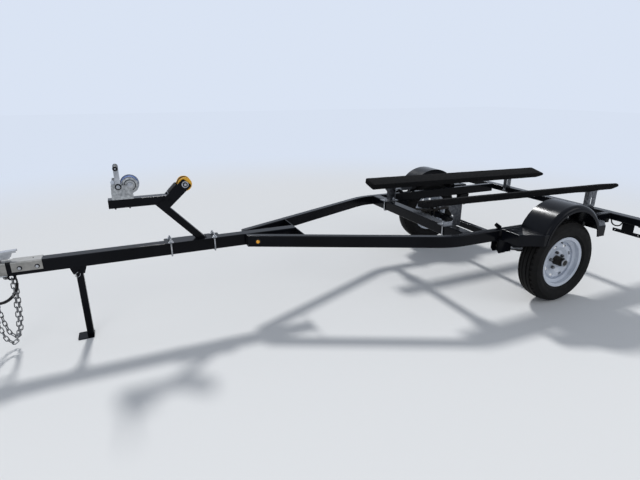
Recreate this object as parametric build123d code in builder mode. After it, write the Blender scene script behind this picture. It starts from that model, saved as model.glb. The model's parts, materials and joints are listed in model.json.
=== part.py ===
"""Boat trailer with one leaf-sprung axle, parked level on its folding tongue leg.

Millimetres. X runs from the coupler's nose to the stern, Y to the right-hand side,
Z up from the ground. The origin is on the ground under the middle of the length.
"""

import os
from math import atan, cos, pi, radians, sin, sqrt, tan

from build123d import *

os.makedirs("parts", exist_ok=True)

# Driving dimensions. Every station along X is counted from the axle.
AXLE_X = 1261
RAIL_TOP = 540
TUBE = 76.2
WALL = 4.8
CORNER = 7

TONGUE_FRONT = AXLE_X - 3395
TONGUE_REAR = AXLE_X - 1700
TONGUE_MID_Z = RAIL_TOP - TUBE / 2
TONGUE_UNDER = RAIL_TOP - TUBE
RAIL_UNDER = TONGUE_UNDER

RAIL_W, RAIL_H = 50.8, TUBE
RAIL_Y = 619.5
RAIL_TIP = AXLE_X - 2050
RAIL_OUT = RAIL_Y + RAIL_W / 2
KNEE_X = AXLE_X - 829
KNEE_RADIUS = 400
V_ANGLE = 24.7

FRONT_CROSS_X = AXLE_X - 682
REAR_CROSS_X = AXLE_X + 711
REAR_CROSS_W, REAR_CROSS_H = 76.2, 50.8
REAR_CROSS_HALF = 930
RAIL_REAR = REAR_CROSS_X - REAR_CROSS_W / 2
UPRIGHT_Y, UPRIGHT_BOLT_Z, UPRIGHT_BOLT_R = 430, 515, 5

HUB_Z = 297
WHEEL_Y = 755
TYRE_R, TYRE_HALF = 297, 82
RIM_FLANGE_R, RIM_SEAT_R, RIM_HALF = 182.6, 165.1, 61
STUD_CIRCLE_R, STUDS, STUD_ANGLE, STUD_R = 57.15, 5, 25, 6
SPINDLE_R, HUB_BORE_R = 17, 17.05

V_TAN = tan(radians(V_ANGLE))
V_COS = cos(radians(V_ANGLE))


def export_pair(piece, name):
    """Write the right-hand piece and its mirror image on the left."""
    for side, solid in (("right", piece), ("left", piece.mirror(Plane.XZ))):
        solid.label = f"{side}_{name}"
        export_step(solid, f"parts/{side}_{name}.step")


def tube_section(width, height):
    """A welded tube's hollow section, drawn in the sketch that is open."""
    RectangleRounded(width, height, CORNER)
    RectangleRounded(width - 2 * WALL, height - 2 * WALL, CORNER - WALL, mode=Mode.SUBTRACT)


def outline(points):
    """A straight-sided face through the points, drawn in the sketch that is open."""
    Polygon(*points, align=None)


def rail_face_y(x, side):
    """Y of the slanting rail's outer (+1) or inner (-1) face at station x."""
    return RAIL_Y - (KNEE_X - x) * V_TAN + side * RAIL_W / 2 / V_COS


# Tongue: one straight square tube from inside the coupler to the V of the rails.
with BuildPart() as tongue:
    with BuildSketch(Plane.YZ.offset(TONGUE_FRONT)):
        with Locations((0, TONGUE_MID_Z)):
            tube_section(TUBE, TUBE)
    extrude(amount=TONGUE_REAR - TONGUE_FRONT)
tongue.part.label = "tongue"
export_step(tongue.part, "parts/tongue.step")

# Side rails: rectangular tube, bent once at the knee, mitred against the tongue.
rail_start_x = RAIL_TIP - 80
rail_z = RAIL_TOP - RAIL_H / 2
with BuildPart() as rail:
    with BuildLine() as rail_path:
        FilletPolyline(
            (rail_start_x, RAIL_Y - (KNEE_X - rail_start_x) * V_TAN, rail_z),
            (KNEE_X, RAIL_Y, rail_z),
            (RAIL_REAR, RAIL_Y, rail_z),
            radius=KNEE_RADIUS,
        )
    rail_way = rail_path.line % 0
    rail_side = Vector(0, 0, 1).cross(rail_way)
    with BuildSketch(Plane(origin=rail_path.line @ 0, x_dir=rail_side, z_dir=rail_way)):
        tube_section(RAIL_W, RAIL_H)
    sweep(path=rail_path.line)
    split(bisect_by=Plane(origin=(0, TUBE / 2, 0), z_dir=(0, 1, 0)), keep=Keep.TOP)
    split(bisect_by=Plane(origin=(RAIL_TIP, 0, 0), z_dir=(1, 0, 0)), keep=Keep.TOP)
export_pair(rail.part, "rail")

# Plate that closes the V behind the tongue.
END_PLATE_T = 5
plate_front_y = rail_face_y(TONGUE_REAR, -1)
plate_rear_y = rail_face_y(TONGUE_REAR + END_PLATE_T, -1)
with BuildPart() as end_plate:
    with BuildSketch(Plane.XY.offset(TONGUE_UNDER)):
        outline(
            (
                (TONGUE_REAR, -plate_front_y),
                (TONGUE_REAR, plate_front_y),
                (TONGUE_REAR + END_PLATE_T, plate_rear_y),
                (TONGUE_REAR + END_PLATE_T, -plate_rear_y),
            )
        )
    extrude(amount=TUBE)
end_plate.part.label = "tongue_end_plate"
export_step(end_plate.part, "parts/tongue_end_plate.step")

# Crossmembers: the front one between the rails, the rear one across their ends.
with BuildPart() as front_cross:
    with BuildSketch(Plane.XZ):
        with Locations((FRONT_CROSS_X, TONGUE_MID_Z)):
            tube_section(TUBE, TUBE)
    extrude(amount=RAIL_Y - RAIL_W / 2, both=True)
front_cross.part.label = "front_crossmember"
export_step(front_cross.part, "parts/front_crossmember.step")

with BuildPart() as rear_cross:
    with BuildSketch(Plane.XZ):
        with Locations((REAR_CROSS_X, RAIL_TOP - REAR_CROSS_H / 2)):
            tube_section(REAR_CROSS_W, REAR_CROSS_H)
    extrude(amount=REAR_CROSS_HALF, both=True)
    with BuildSketch(Plane.YZ.offset(REAR_CROSS_X)):
        with Locations((UPRIGHT_Y, UPRIGHT_BOLT_Z), (-UPRIGHT_Y, UPRIGHT_BOLT_Z)):
            Circle(UPRIGHT_BOLT_R + 0.2)
    extrude(amount=REAR_CROSS_W, both=True, mode=Mode.SUBTRACT)
rear_cross.part.label = "rear_crossmember"
export_step(rear_cross.part, "parts/rear_crossmember.step")

# Coupler: pressed channel over the tongue's end, a stepped neck, then a ball socket.
COUPLER_REAR = AXLE_X - 3220
COUPLER_T = 4.2
CHANNEL_IN = TUBE / 2 + 0.2
CHANNEL_OUT = CHANNEL_IN + COUPLER_T
CHANNEL_LOW = 487
COUPLER_TOP = RAIL_TOP + 0.2 + COUPLER_T
COUPLER_UNDER = 467
NECK_REAR, NECK_FRONT, NECK_HALF = AXLE_X - 3370, AXLE_X - 3394, 22
HEAD_REAR = AXLE_X - 3400
BALL_X = AXLE_X - 3490
BALL_R, SOCKET_WALL_R, SOCKET_DEPTH = 25.8, 37, 45
THROAT_X = BALL_X + SOCKET_WALL_R + 5
THROAT_IN = SOCKET_WALL_R - 9
PRESSING_R = 8
LIP_R, LIP_T, LIP_HOLE_R = 56, 5, 7
HOOK_X, HOOK_Y = BALL_X - 24, 45
with BuildPart() as coupler:
    with BuildSketch(Plane.XY.offset(COUPLER_UNDER)):
        with BuildLine():
            Polyline(
                (BALL_X, SOCKET_WALL_R),
                (HEAD_REAR, CHANNEL_OUT),
                (COUPLER_REAR, CHANNEL_OUT),
                (COUPLER_REAR, -CHANNEL_OUT),
                (HEAD_REAR, -CHANNEL_OUT),
                (BALL_X, -SOCKET_WALL_R),
            )
            ThreePointArc(
                (BALL_X, -SOCKET_WALL_R),
                (BALL_X - SOCKET_WALL_R, 0),
                (BALL_X, SOCKET_WALL_R),
            )
        make_face()
    extrude(amount=COUPLER_TOP - COUPLER_UNDER)
    fillet(coupler.faces().sort_by(Axis.Z)[-1].edges(), PRESSING_R)
    with BuildSketch(Plane.XY.offset(COUPLER_UNDER)):
        outline(
            (
                (THROAT_X, THROAT_IN),
                (HEAD_REAR, CHANNEL_IN),
                (COUPLER_REAR, CHANNEL_IN),
                (COUPLER_REAR, -CHANNEL_IN),
                (HEAD_REAR, -CHANNEL_IN),
                (THROAT_X, -THROAT_IN),
            )
        )
    extrude(amount=COUPLER_TOP - COUPLER_T - COUPLER_UNDER, mode=Mode.SUBTRACT)
    with BuildSketch(Plane.XZ):
        outline(
            (
                (NECK_FRONT, COUPLER_UNDER),
                (NECK_FRONT, CHANNEL_LOW),
                (COUPLER_REAR, CHANNEL_LOW),
                (COUPLER_REAR, COUPLER_UNDER),
            )
        )
    extrude(amount=TUBE, both=True, mode=Mode.SUBTRACT)
    for side in (1, -1):
        with BuildSketch(Plane.XZ.offset(side * NECK_HALF)):
            outline(
                (
                    (NECK_FRONT, COUPLER_UNDER),
                    (NECK_FRONT, COUPLER_TOP),
                    (NECK_REAR, COUPLER_TOP),
                    (NECK_REAR, COUPLER_UNDER),
                )
            )
        extrude(amount=side * TUBE, mode=Mode.SUBTRACT)
    with BuildSketch(Plane.XY.offset(COUPLER_UNDER)):
        with Locations((BALL_X, 0)):
            Circle(LIP_R)
        with Locations((BALL_X + LIP_R, 0)):
            Rectangle(2 * LIP_R, 2 * LIP_R, mode=Mode.SUBTRACT)
        with Locations((HOOK_X, HOOK_Y), (HOOK_X, -HOOK_Y)):
            Circle(LIP_HOLE_R + 6)
            Circle(LIP_HOLE_R, mode=Mode.SUBTRACT)
        with Locations((BALL_X, 0)):
            Circle(SOCKET_WALL_R - 2, mode=Mode.SUBTRACT)
    extrude(amount=LIP_T)
    with Locations((BALL_X, 0, COUPLER_UNDER)):
        Cylinder(
            BALL_R,
            SOCKET_DEPTH,
            align=(Align.CENTER, Align.CENTER, Align.MIN),
            mode=Mode.SUBTRACT,
        )
    with Locations((BALL_X, 0, COUPLER_UNDER + SOCKET_DEPTH)):
        Sphere(BALL_R, mode=Mode.SUBTRACT)
coupler.part.label = "coupler"
export_step(coupler.part, "parts/coupler.step")

# Latch lever: folded channel pinned over the neck, its tail held high.
LEVER_HALF, LEVER_T = 17, 3
EAR_X, EAR_Z, EAR_HALF = AXLE_X - 3462, 562, 10
LEVER_TAIL_X = AXLE_X - 3336
CHEEK_END_X = AXLE_X - 3360
lever_top = (
    (EAR_X - 14, EAR_Z + 14),
    (EAR_X + 20, EAR_Z + 36),
    (LEVER_TAIL_X, EAR_Z + 42),
)
with BuildPart() as latch:
    with BuildSketch(Plane.XZ):
        outline(
            lever_top
            + (
                (LEVER_TAIL_X, EAR_Z + 30),
                (CHEEK_END_X, EAR_Z + 28),
                (CHEEK_END_X - 12, EAR_Z - 2),
                (EAR_X + 12, EAR_Z - 8),
                (EAR_X - 16, EAR_Z - 8),
            )
        )
    extrude(amount=LEVER_HALF, both=True)
    with BuildSketch(Plane.XZ):
        outline(
            (
                (EAR_X - 30, EAR_Z - 8 - LEVER_T),
                (EAR_X - 30, EAR_Z + 14 - LEVER_T),
                (EAR_X - 14 + LEVER_T / 2, EAR_Z + 14 - LEVER_T),
                (EAR_X + 20 + LEVER_T / 2, EAR_Z + 36 - LEVER_T),
                (LEVER_TAIL_X + 1, EAR_Z + 42 - LEVER_T),
                (LEVER_TAIL_X + 1, EAR_Z - 8 - LEVER_T),
            )
        )
    extrude(amount=LEVER_HALF - LEVER_T, both=True, mode=Mode.SUBTRACT)
    with BuildSketch(Plane.XZ):
        outline(
            (
                (EAR_X - 22, COUPLER_TOP),
                (EAR_X + 22, COUPLER_TOP),
                (EAR_X + 10, EAR_Z + 8),
                (EAR_X - 10, EAR_Z + 8),
            )
        )
    extrude(amount=EAR_HALF, both=True)
    with BuildSketch(Plane.XZ):
        with Locations((EAR_X, EAR_Z)):
            Circle(5)
    extrude(amount=LEVER_HALF + 4, both=True)
latch.part.label = "coupler_latch"
export_step(latch.part, "parts/coupler_latch.step")

# Safety chains. An upright link lies across the chain, a level one along it. Each
# chain hangs in a plane that turns outward, so that the way up to the socket is free.
WIRE = 6
LINK_LONG, LINK_WIDE = 31, 12.7
LINK_SLACK = 1.7
LINKS = 27
CHAIN_SWEEP = 16.66
CHAIN_LOW = 13.4
STAPLE_X, STAPLE_Y, STAPLE_R, STAPLE_HALF = AXLE_X - 3380, 32, 5, 14
STAPLE_DROP = 19
HOOK_R, HOOK_BEND = 4, 9.5
chain_run = Vector(HOOK_X + HOOK_BEND - STAPLE_X, HOOK_Y - STAPLE_Y, 0)
chain_out = chain_run.normalized()
chain_across = Vector(chain_out.Y, -chain_out.X, 0)
link_bend = LINK_WIDE / 2
upright_reach = LINK_LONG / 2 + link_bend - LINK_SLACK
level_reach = LINK_LONG / 2 - link_bend


def chain_places():
    """Centre, heading and plane of every link, hanging in one loop."""
    top = TONGUE_UNDER - STAPLE_DROP + STAPLE_R + 0.5
    centre = Vector(STAPLE_X, STAPLE_Y, top - LINK_LONG / 2)
    places = []
    for number in range(LINKS):
        along = (number - CHAIN_LOW) * (LINK_LONG - LINK_SLACK)
        climb = atan(along / CHAIN_SWEEP)
        heading = chain_out * cos(climb) + Vector(0, 0, sin(climb))
        upright = number % 2 == 0
        reach = upright_reach if upright else level_reach
        if places:
            centre = places[-1][0] + places[-1][1] * places[-1][3] + heading * reach
        places.append((centre, heading, upright, reach))
    return places


chain_links = chain_places()
with BuildPart() as chain:
    for centre, heading, upright, _ in chain_links:
        normal = heading.cross(chain_across) if upright else chain_across
        with BuildSketch(Plane(origin=centre, x_dir=heading, z_dir=normal)):
            SlotOverall(LINK_LONG + 2 * WIRE, LINK_WIDE + 2 * WIRE)
            SlotOverall(LINK_LONG, LINK_WIDE, mode=Mode.SUBTRACT)
        extrude(amount=WIRE / 2, both=True)
export_pair(chain.part, "safety_chain")
chain_end = chain_links[-1][0]
print("last link past its hook, mm:", round((chain_end - chain_links[0][0] - chain_run).dot(chain_out), 2))

# Chain anchors: two staples of round bar welded under the tongue.
with BuildPart() as staples:
    for y in (-STAPLE_Y, STAPLE_Y):
        with BuildLine() as staple_path:
            FilletPolyline(
                (STAPLE_X - STAPLE_HALF, y, TONGUE_UNDER),
                (STAPLE_X - STAPLE_HALF, y, TONGUE_UNDER - STAPLE_DROP),
                (STAPLE_X + STAPLE_HALF, y, TONGUE_UNDER - STAPLE_DROP),
                (STAPLE_X + STAPLE_HALF, y, TONGUE_UNDER),
                radius=9,
            )
        with BuildSketch(Plane(origin=staple_path.line @ 0, z_dir=staple_path.line % 0)):
            Circle(STAPLE_R)
        sweep(path=staple_path.line)
staples.part.label = "chain_anchors"
export_step(staples.part, "parts/chain_anchors.step")

# Chain hooks: S-hooks of round bar, hung through the holes in the coupler's lip.
HOOK_POINT = 10
hook_top_z = COUPLER_UNDER + LIP_T + 3
hook_low_z = chain_end.Z + LINK_LONG / 2 - HOOK_R - 1.6 + HOOK_BEND
hook_left_x = HOOK_X - 2 * HOOK_BEND
hook_right_x = HOOK_X + 2 * HOOK_BEND
with BuildPart() as hook:
    with BuildLine() as hook_path:
        Line(
            (hook_left_x, HOOK_Y, hook_top_z - HOOK_POINT),
            (hook_left_x, HOOK_Y, hook_top_z),
        )
        ThreePointArc(
            (hook_left_x, HOOK_Y, hook_top_z),
            (HOOK_X - HOOK_BEND, HOOK_Y, hook_top_z + HOOK_BEND),
            (HOOK_X, HOOK_Y, hook_top_z),
        )
        Line((HOOK_X, HOOK_Y, hook_top_z), (HOOK_X, HOOK_Y, hook_low_z))
        ThreePointArc(
            (HOOK_X, HOOK_Y, hook_low_z),
            (HOOK_X + HOOK_BEND, HOOK_Y, hook_low_z - HOOK_BEND),
            (hook_right_x, HOOK_Y, hook_low_z),
        )
        Line(
            (hook_right_x, HOOK_Y, hook_low_z),
            (hook_right_x, HOOK_Y, hook_low_z + HOOK_POINT),
        )
    with BuildSketch(Plane(origin=hook_path.line @ 0, z_dir=hook_path.line % 0)):
        Circle(HOOK_R)
    sweep(path=hook_path.line)
    mirror(about=Plane.XZ)
hook.part.label = "chain_hooks"
export_step(hook.part, "parts/chain_hooks.step")

# Wheels: tyre, pressed steel wheel with eight windows, hub with a dust cap.
SHOULDER_R, SHOULDER_HALF = 284, 60
CREST_R = 242
BEAD_IN_R = RIM_SEAT_R + 0.5
tyre_half = (
    (RIM_HALF - 9.5, BEAD_IN_R),
    (RIM_HALF - 5, RIM_FLANGE_R + 1),
    (TYRE_HALF, CREST_R),
    (SHOULDER_HALF + 9, SHOULDER_R - 8),
    (SHOULDER_HALF, SHOULDER_R + 4),
    (0, TYRE_R),
)
with BuildPart() as tyre:
    with BuildSketch(Plane.YZ):
        with BuildLine():
            for side in (1, -1):
                ring = [(WHEEL_Y + side * half, HUB_Z + radius) for half, radius in tyre_half]
                Line(ring[0], ring[1])
                ThreePointArc(ring[1], ring[2], ring[3])
                Line(ring[3], ring[4])
            ThreePointArc(
                (WHEEL_Y + SHOULDER_HALF, HUB_Z + SHOULDER_R + 4),
                (WHEEL_Y, HUB_Z + TYRE_R),
                (WHEEL_Y - SHOULDER_HALF, HUB_Z + SHOULDER_R + 4),
            )
            Line(
                (WHEEL_Y + RIM_HALF - 9.5, HUB_Z + BEAD_IN_R),
                (WHEEL_Y - RIM_HALF + 9.5, HUB_Z + BEAD_IN_R),
            )
        make_face()
    revolve(axis=Axis((0, 0, HUB_Z), (0, 1, 0)))
export_pair(tyre.part.moved(Location((AXLE_X, 0, 0))), "tyre")

RIM_T = 3
WELL_R = 138
DISC_OUT_Y = 18
WINDOWS, WINDOW_CIRCLE_R = 8, 112
with BuildPart() as rim:
    with BuildSketch(Plane.YZ):
        with Locations((WHEEL_Y, HUB_Z)):
            outline(
                (
                    (RIM_HALF, RIM_FLANGE_R),
                    (RIM_HALF - 4, RIM_FLANGE_R),
                    (RIM_HALF - 8, RIM_SEAT_R),
                    (RIM_HALF - 30, RIM_SEAT_R - 3),
                    (RIM_HALF - 38, WELL_R + RIM_T),
                    (-8, WELL_R + RIM_T),
                    (-24, RIM_SEAT_R - 3),
                    (-RIM_HALF + 8, RIM_SEAT_R),
                    (-RIM_HALF + 4, RIM_FLANGE_R),
                    (-RIM_HALF, RIM_FLANGE_R),
                    (-RIM_HALF + 3, RIM_SEAT_R - RIM_T),
                    (-26, RIM_SEAT_R - 3 - RIM_T),
                    (-11, WELL_R),
                    (RIM_HALF - 35, WELL_R),
                    (RIM_HALF - 27, RIM_SEAT_R - 3 - RIM_T),
                    (RIM_HALF - 3, RIM_SEAT_R - RIM_T),
                )
            )
    revolve(axis=Axis((0, 0, HUB_Z), (0, 1, 0)))
    with BuildSketch(Plane.YZ):
        with Locations((WHEEL_Y, HUB_Z)):
            outline(
                (
                    (0, 34),
                    (0, 76),
                    (DISC_OUT_Y - 4, 98),
                    (DISC_OUT_Y, 122),
                    (DISC_OUT_Y - 12, WELL_R + 0.5),
                    (DISC_OUT_Y - 8, WELL_R + 0.5),
                    (DISC_OUT_Y + 4, 122),
                    (DISC_OUT_Y, 97),
                    (4, 74),
                    (4, 34),
                )
            )
    revolve(axis=Axis((0, 0, HUB_Z), (0, 1, 0)))
    with BuildSketch(Plane.XZ.offset(-WHEEL_Y - 40)):
        with Locations((0, HUB_Z)):
            with PolarLocations(WINDOW_CIRCLE_R, WINDOWS, start_angle=22.5):
                SlotOverall(30, 17, rotation=90)
            with PolarLocations(STUD_CIRCLE_R, STUDS, start_angle=STUD_ANGLE):
                Circle(STUD_R + 0.2)
    extrude(amount=60, mode=Mode.SUBTRACT)
export_pair(rim.part.moved(Location((AXLE_X, 0, 0))), "wheel_rim")

HUB_INNER_Y = 695
HUB_NOSE_Y = 812
with BuildPart() as hub:
    with BuildSketch(Plane.YZ):
        with Locations((0, HUB_Z)):
            outline(
                (
                    (HUB_INNER_Y, HUB_BORE_R),
                    (HUB_INNER_Y, 32),
                    (WHEEL_Y - 22, 33),
                    (WHEEL_Y - 12, 70),
                    (WHEEL_Y - 0.1, 70),
                    (WHEEL_Y - 0.1, 33),
                    (HUB_NOSE_Y, 31),
                    (HUB_NOSE_Y, 25),
                    (HUB_NOSE_Y + 18, 25),
                    (HUB_NOSE_Y + 22, 21),
                    (HUB_NOSE_Y + 22, 0),
                    (HUB_NOSE_Y - 8, 0),
                    (HUB_NOSE_Y - 8, HUB_BORE_R),
                )
            )
    revolve(axis=Axis((0, 0, HUB_Z), (0, 1, 0)))
    with BuildSketch(Plane.XZ.offset(-WHEEL_Y + 6)):
        with Locations((0, HUB_Z)):
            with PolarLocations(STUD_CIRCLE_R, STUDS, start_angle=STUD_ANGLE):
                Circle(STUD_R)
    extrude(amount=-28)
    with BuildSketch(Plane.XZ.offset(-WHEEL_Y - 4.1)):
        with Locations((0, HUB_Z)):
            with PolarLocations(STUD_CIRCLE_R, STUDS, start_angle=STUD_ANGLE):
                RegularPolygon(11, 6)
    extrude(amount=-15)
export_pair(hub.part.moved(Location((AXLE_X, 0, 0))), "wheel_hub")

# Axle: square beam with a round spindle at each end.
AXLE_TUBE = 50
with BuildPart() as axle:
    with BuildSketch(Plane.XZ):
        with Locations((AXLE_X, HUB_Z)):
            tube_section(AXLE_TUBE, AXLE_TUBE)
    extrude(amount=HUB_INNER_Y - 15, both=True)
    for side in (1, -1):
        with BuildSketch(Plane.XZ.offset(side * (HUB_INNER_Y - 55))):
            with Locations((AXLE_X, HUB_Z)):
                Circle(SPINDLE_R)
                Rectangle(AXLE_TUBE - 2 * WALL, AXLE_TUBE - 2 * WALL)
        extrude(amount=side * 40)
        with BuildSketch(Plane.XZ.offset(side * (HUB_INNER_Y - 15))):
            with Locations((AXLE_X, HUB_Z)):
                Circle(SPINDLE_R)
        extrude(amount=side * 120)
axle.part.label = "axle_beam"
export_step(axle.part, "parts/axle_beam.step")

# Leaf springs: three leaves over the axle, a rolled eye at the front.
LEAF_R, LEAF_T, LEAF_W, LEAVES = 1400, 7, 45, 3
SEAT_TOP = HUB_Z + AXLE_TUBE / 2 + 6
EYE_X, EYE_R, EYE_BORE_R = AXLE_X - 405, 16, 7.6
PACK_HALF = (345, 250, 150)


def leaf_z(x, level):
    """Height of the curve that lies level above the spring seat at the axle."""
    return SEAT_TOP + level + LEAF_R - sqrt(LEAF_R**2 - (x - AXLE_X) ** 2)


eye_z = leaf_z(EYE_X, LEAVES * LEAF_T) + EYE_R - LEAF_T
with BuildPart() as spring:
    for number, half in enumerate(PACK_HALF):
        front_x = EYE_X if number == 0 else AXLE_X - half
        rear_x = AXLE_X + half
        top = (LEAVES - number) * LEAF_T
        low = top - LEAF_T
        with BuildSketch(Plane.XZ.offset(-RAIL_Y)):
            with BuildLine():
                ThreePointArc(
                    (front_x, leaf_z(front_x, low)),
                    (AXLE_X, leaf_z(AXLE_X, low)),
                    (rear_x, leaf_z(rear_x, low)),
                )
                Line((rear_x, leaf_z(rear_x, low)), (rear_x, leaf_z(rear_x, top)))
                ThreePointArc(
                    (rear_x, leaf_z(rear_x, top)),
                    (AXLE_X, leaf_z(AXLE_X, top)),
                    (front_x, leaf_z(front_x, top)),
                )
                Line((front_x, leaf_z(front_x, top)), (front_x, leaf_z(front_x, low)))
            make_face()
        extrude(amount=LEAF_W / 2, both=True)
    with BuildSketch(Plane.XZ.offset(-RAIL_Y)):
        with Locations((EYE_X, eye_z)):
            Circle(EYE_R)
    extrude(amount=LEAF_W / 2, both=True)
    with BuildSketch(Plane.XZ.offset(-RAIL_Y)):
        with Locations((EYE_X, eye_z)):
            Circle(EYE_BORE_R)
    extrude(amount=LEAF_W / 2, both=True, mode=Mode.SUBTRACT)
export_pair(spring.part, "leaf_spring")

# Spring hangers: a pressed bracket with the eye bolt, and a slipper box behind.
HANGER_T = 5
HANGER_IN = LEAF_W / 2 + 2
KEEPER_X = AXLE_X + 325
wear_bar_z = leaf_z(KEEPER_X, LEAVES * LEAF_T) + 5.6
with BuildPart() as hangers:
    with BuildSketch(Plane.XZ.offset(-RAIL_Y)):
        outline(
            (
                (AXLE_X - 456, RAIL_UNDER),
                (AXLE_X - 335, RAIL_UNDER),
                (AXLE_X - 352, 400),
                (AXLE_X - 380, 372),
                (AXLE_X - 436, 372),
                (AXLE_X - 456, 400),
            )
        )
        outline(
            (
                (AXLE_X + 270, RAIL_UNDER),
                (AXLE_X + 375, RAIL_UNDER),
                (AXLE_X + 365, 362),
                (AXLE_X + 285, 362),
            )
        )
    extrude(amount=HANGER_IN + HANGER_T, both=True)
    with BuildSketch(Plane.XZ.offset(-RAIL_Y)):
        with Locations((AXLE_X, (RAIL_UNDER - HANGER_T + 300) / 2)):
            Rectangle(1000, RAIL_UNDER - HANGER_T - 300)
    extrude(amount=HANGER_IN, both=True, mode=Mode.SUBTRACT)
    with BuildSketch(Plane.XZ.offset(-RAIL_Y)):
        with Locations((EYE_X, eye_z)):
            Circle(EYE_BORE_R - 0.1)
        with Locations((KEEPER_X, leaf_z(KEEPER_X, 2 * LEAF_T) - 9), (KEEPER_X, wear_bar_z)):
            Circle(5)
    extrude(amount=HANGER_IN + HANGER_T + 8, both=True)
export_pair(hangers.part, "spring_hangers")

# Axle clamps: a plate over the leaves and two U-bolts under the beam.
CLAMP_ROD = 5
PLATE_Z = SEAT_TOP + LEAVES * LEAF_T + 1
clamp_leg_x = AXLE_TUBE / 2 + CLAMP_ROD + 1
clamp_leg_y = LEAF_W / 2 + CLAMP_ROD + 1
with BuildPart() as clamp:
    with BuildSketch(Plane.XY.offset(PLATE_Z)):
        with Locations((AXLE_X, RAIL_Y)):
            RectangleRounded(88, 84, 8)
    extrude(amount=7)
    with BuildSketch(Plane.XY.offset(HUB_Z + AXLE_TUBE / 2 + 0.2)):
        with Locations((AXLE_X, RAIL_Y)):
            Rectangle(44, LEAF_W + 4)
    extrude(amount=5.6)
    for side in (1, -1):
        y = RAIL_Y + side * clamp_leg_y
        low = HUB_Z - AXLE_TUBE / 2 - CLAMP_ROD - 1
        with BuildLine() as clamp_path:
            FilletPolyline(
                (AXLE_X - clamp_leg_x, y, PLATE_Z + 26),
                (AXLE_X - clamp_leg_x, y, low),
                (AXLE_X + clamp_leg_x, y, low),
                (AXLE_X + clamp_leg_x, y, PLATE_Z + 26),
                radius=8,
            )
        with BuildSketch(Plane(origin=clamp_path.line @ 0, z_dir=clamp_path.line % 0)):
            Circle(CLAMP_ROD)
        sweep(path=clamp_path.line)
export_pair(clamp.part, "axle_clamp")

# Fenders: moulded shells, an arch with a round shoulder between two low steps whose
# outer corners are cut, and a raised bead round the wheel's opening.
FENDER_IN, FENDER_OUT = 657, 875
FENDER_T = 4
ARCH_X, ARCH_Z, ARCH_R = AXLE_X - 15, 440, 280
SHOULDER_BEND = 28
STEP_TOP, SKIRT_LOW, STEP_BEND = 550, 474, 8
STEP_FRONT, STEP_REAR = AXLE_X - 440, AXLE_X + 388
STEP_CUT_X, STEP_CUT_Y = 290, 798
OPENING_R, BEAD_W, BEAD_T = 238, 14, 3


def fender_block(inset):
    """The fender's outside, or its hollow when it is drawn in by the wall.

    The hollow has no wall towards the rail: it is open on that side.
    """
    top = STEP_TOP - inset
    front, rear = STEP_FRONT + inset, STEP_REAR - inset
    inner, outer = FENDER_IN - inset, FENDER_OUT - inset
    cut_y = STEP_CUT_Y - inset / 2
    radius, bend = ARCH_R - inset, SHOULDER_BEND - inset
    with BuildPart() as block:
        with BuildSketch(Plane.XY.offset(SKIRT_LOW)):
            outline(
                (
                    (front, inner),
                    (front, cut_y),
                    (AXLE_X - STEP_CUT_X + inset / 2, outer),
                    (AXLE_X + STEP_CUT_X - inset / 2, outer),
                    (rear, cut_y),
                    (rear, inner),
                )
            )
        extrude(amount=top - SKIRT_LOW)
        fillet(block.faces().sort_by(Axis.Z)[-1].edges(), STEP_BEND - inset)
        with BuildSketch(Plane.YZ.offset(ARCH_X)):
            with BuildLine():
                Polyline(
                    (outer, ARCH_Z + radius - bend),
                    (outer, ARCH_Z),
                    (inner, ARCH_Z),
                    (inner, ARCH_Z + radius),
                    (outer - bend, ARCH_Z + radius),
                )
                TangentArc(
                    (outer - bend, ARCH_Z + radius),
                    (outer, ARCH_Z + radius - bend),
                    tangent=(1, 0),
                )
            make_face()
        revolve(axis=Axis((ARCH_X, 0, ARCH_Z), (0, 1, 0)))
        split(bisect_by=Plane.XY.offset(SKIRT_LOW), keep=Keep.TOP)
    return block.part


fender_outside, fender_hollow = fender_block(0), fender_block(FENDER_T)
with BuildPart() as fender:
    add(fender_outside)
    with BuildSketch(Plane.XZ.offset(-FENDER_OUT)):
        with Locations((ARCH_X, ARCH_Z)):
            Circle(OPENING_R + BEAD_W)
            Circle(OPENING_R, mode=Mode.SUBTRACT)
    extrude(amount=-BEAD_T)
    split(bisect_by=Plane.XY.offset(SKIRT_LOW), keep=Keep.TOP)
    add(fender_hollow, mode=Mode.SUBTRACT)
    with BuildSketch(Plane.XZ.offset(-FENDER_OUT + FENDER_T + 1)):
        with Locations((ARCH_X, ARCH_Z)):
            Circle(OPENING_R)
    extrude(amount=-FENDER_T - BEAD_T - 2, mode=Mode.SUBTRACT)
export_pair(fender.part, "fender")

# Fender arms: flat bars from the rail out under each step.
ARM_T = 6
with BuildPart() as arms:
    for x in (-395, 350):
        with BuildSketch(Plane.XZ.offset(-RAIL_OUT)):
            with Locations((AXLE_X + x, STEP_TOP - FENDER_T - ARM_T / 2)):
                Rectangle(38, ARM_T)
        extrude(amount=-150)
        with BuildSketch(Plane.XZ.offset(-RAIL_OUT)):
            with Locations((AXLE_X + x, STEP_TOP - FENDER_T - 35)):
                Rectangle(38, 70)
        extrude(amount=-ARM_T)
export_pair(arms.part, "fender_arms")

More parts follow.
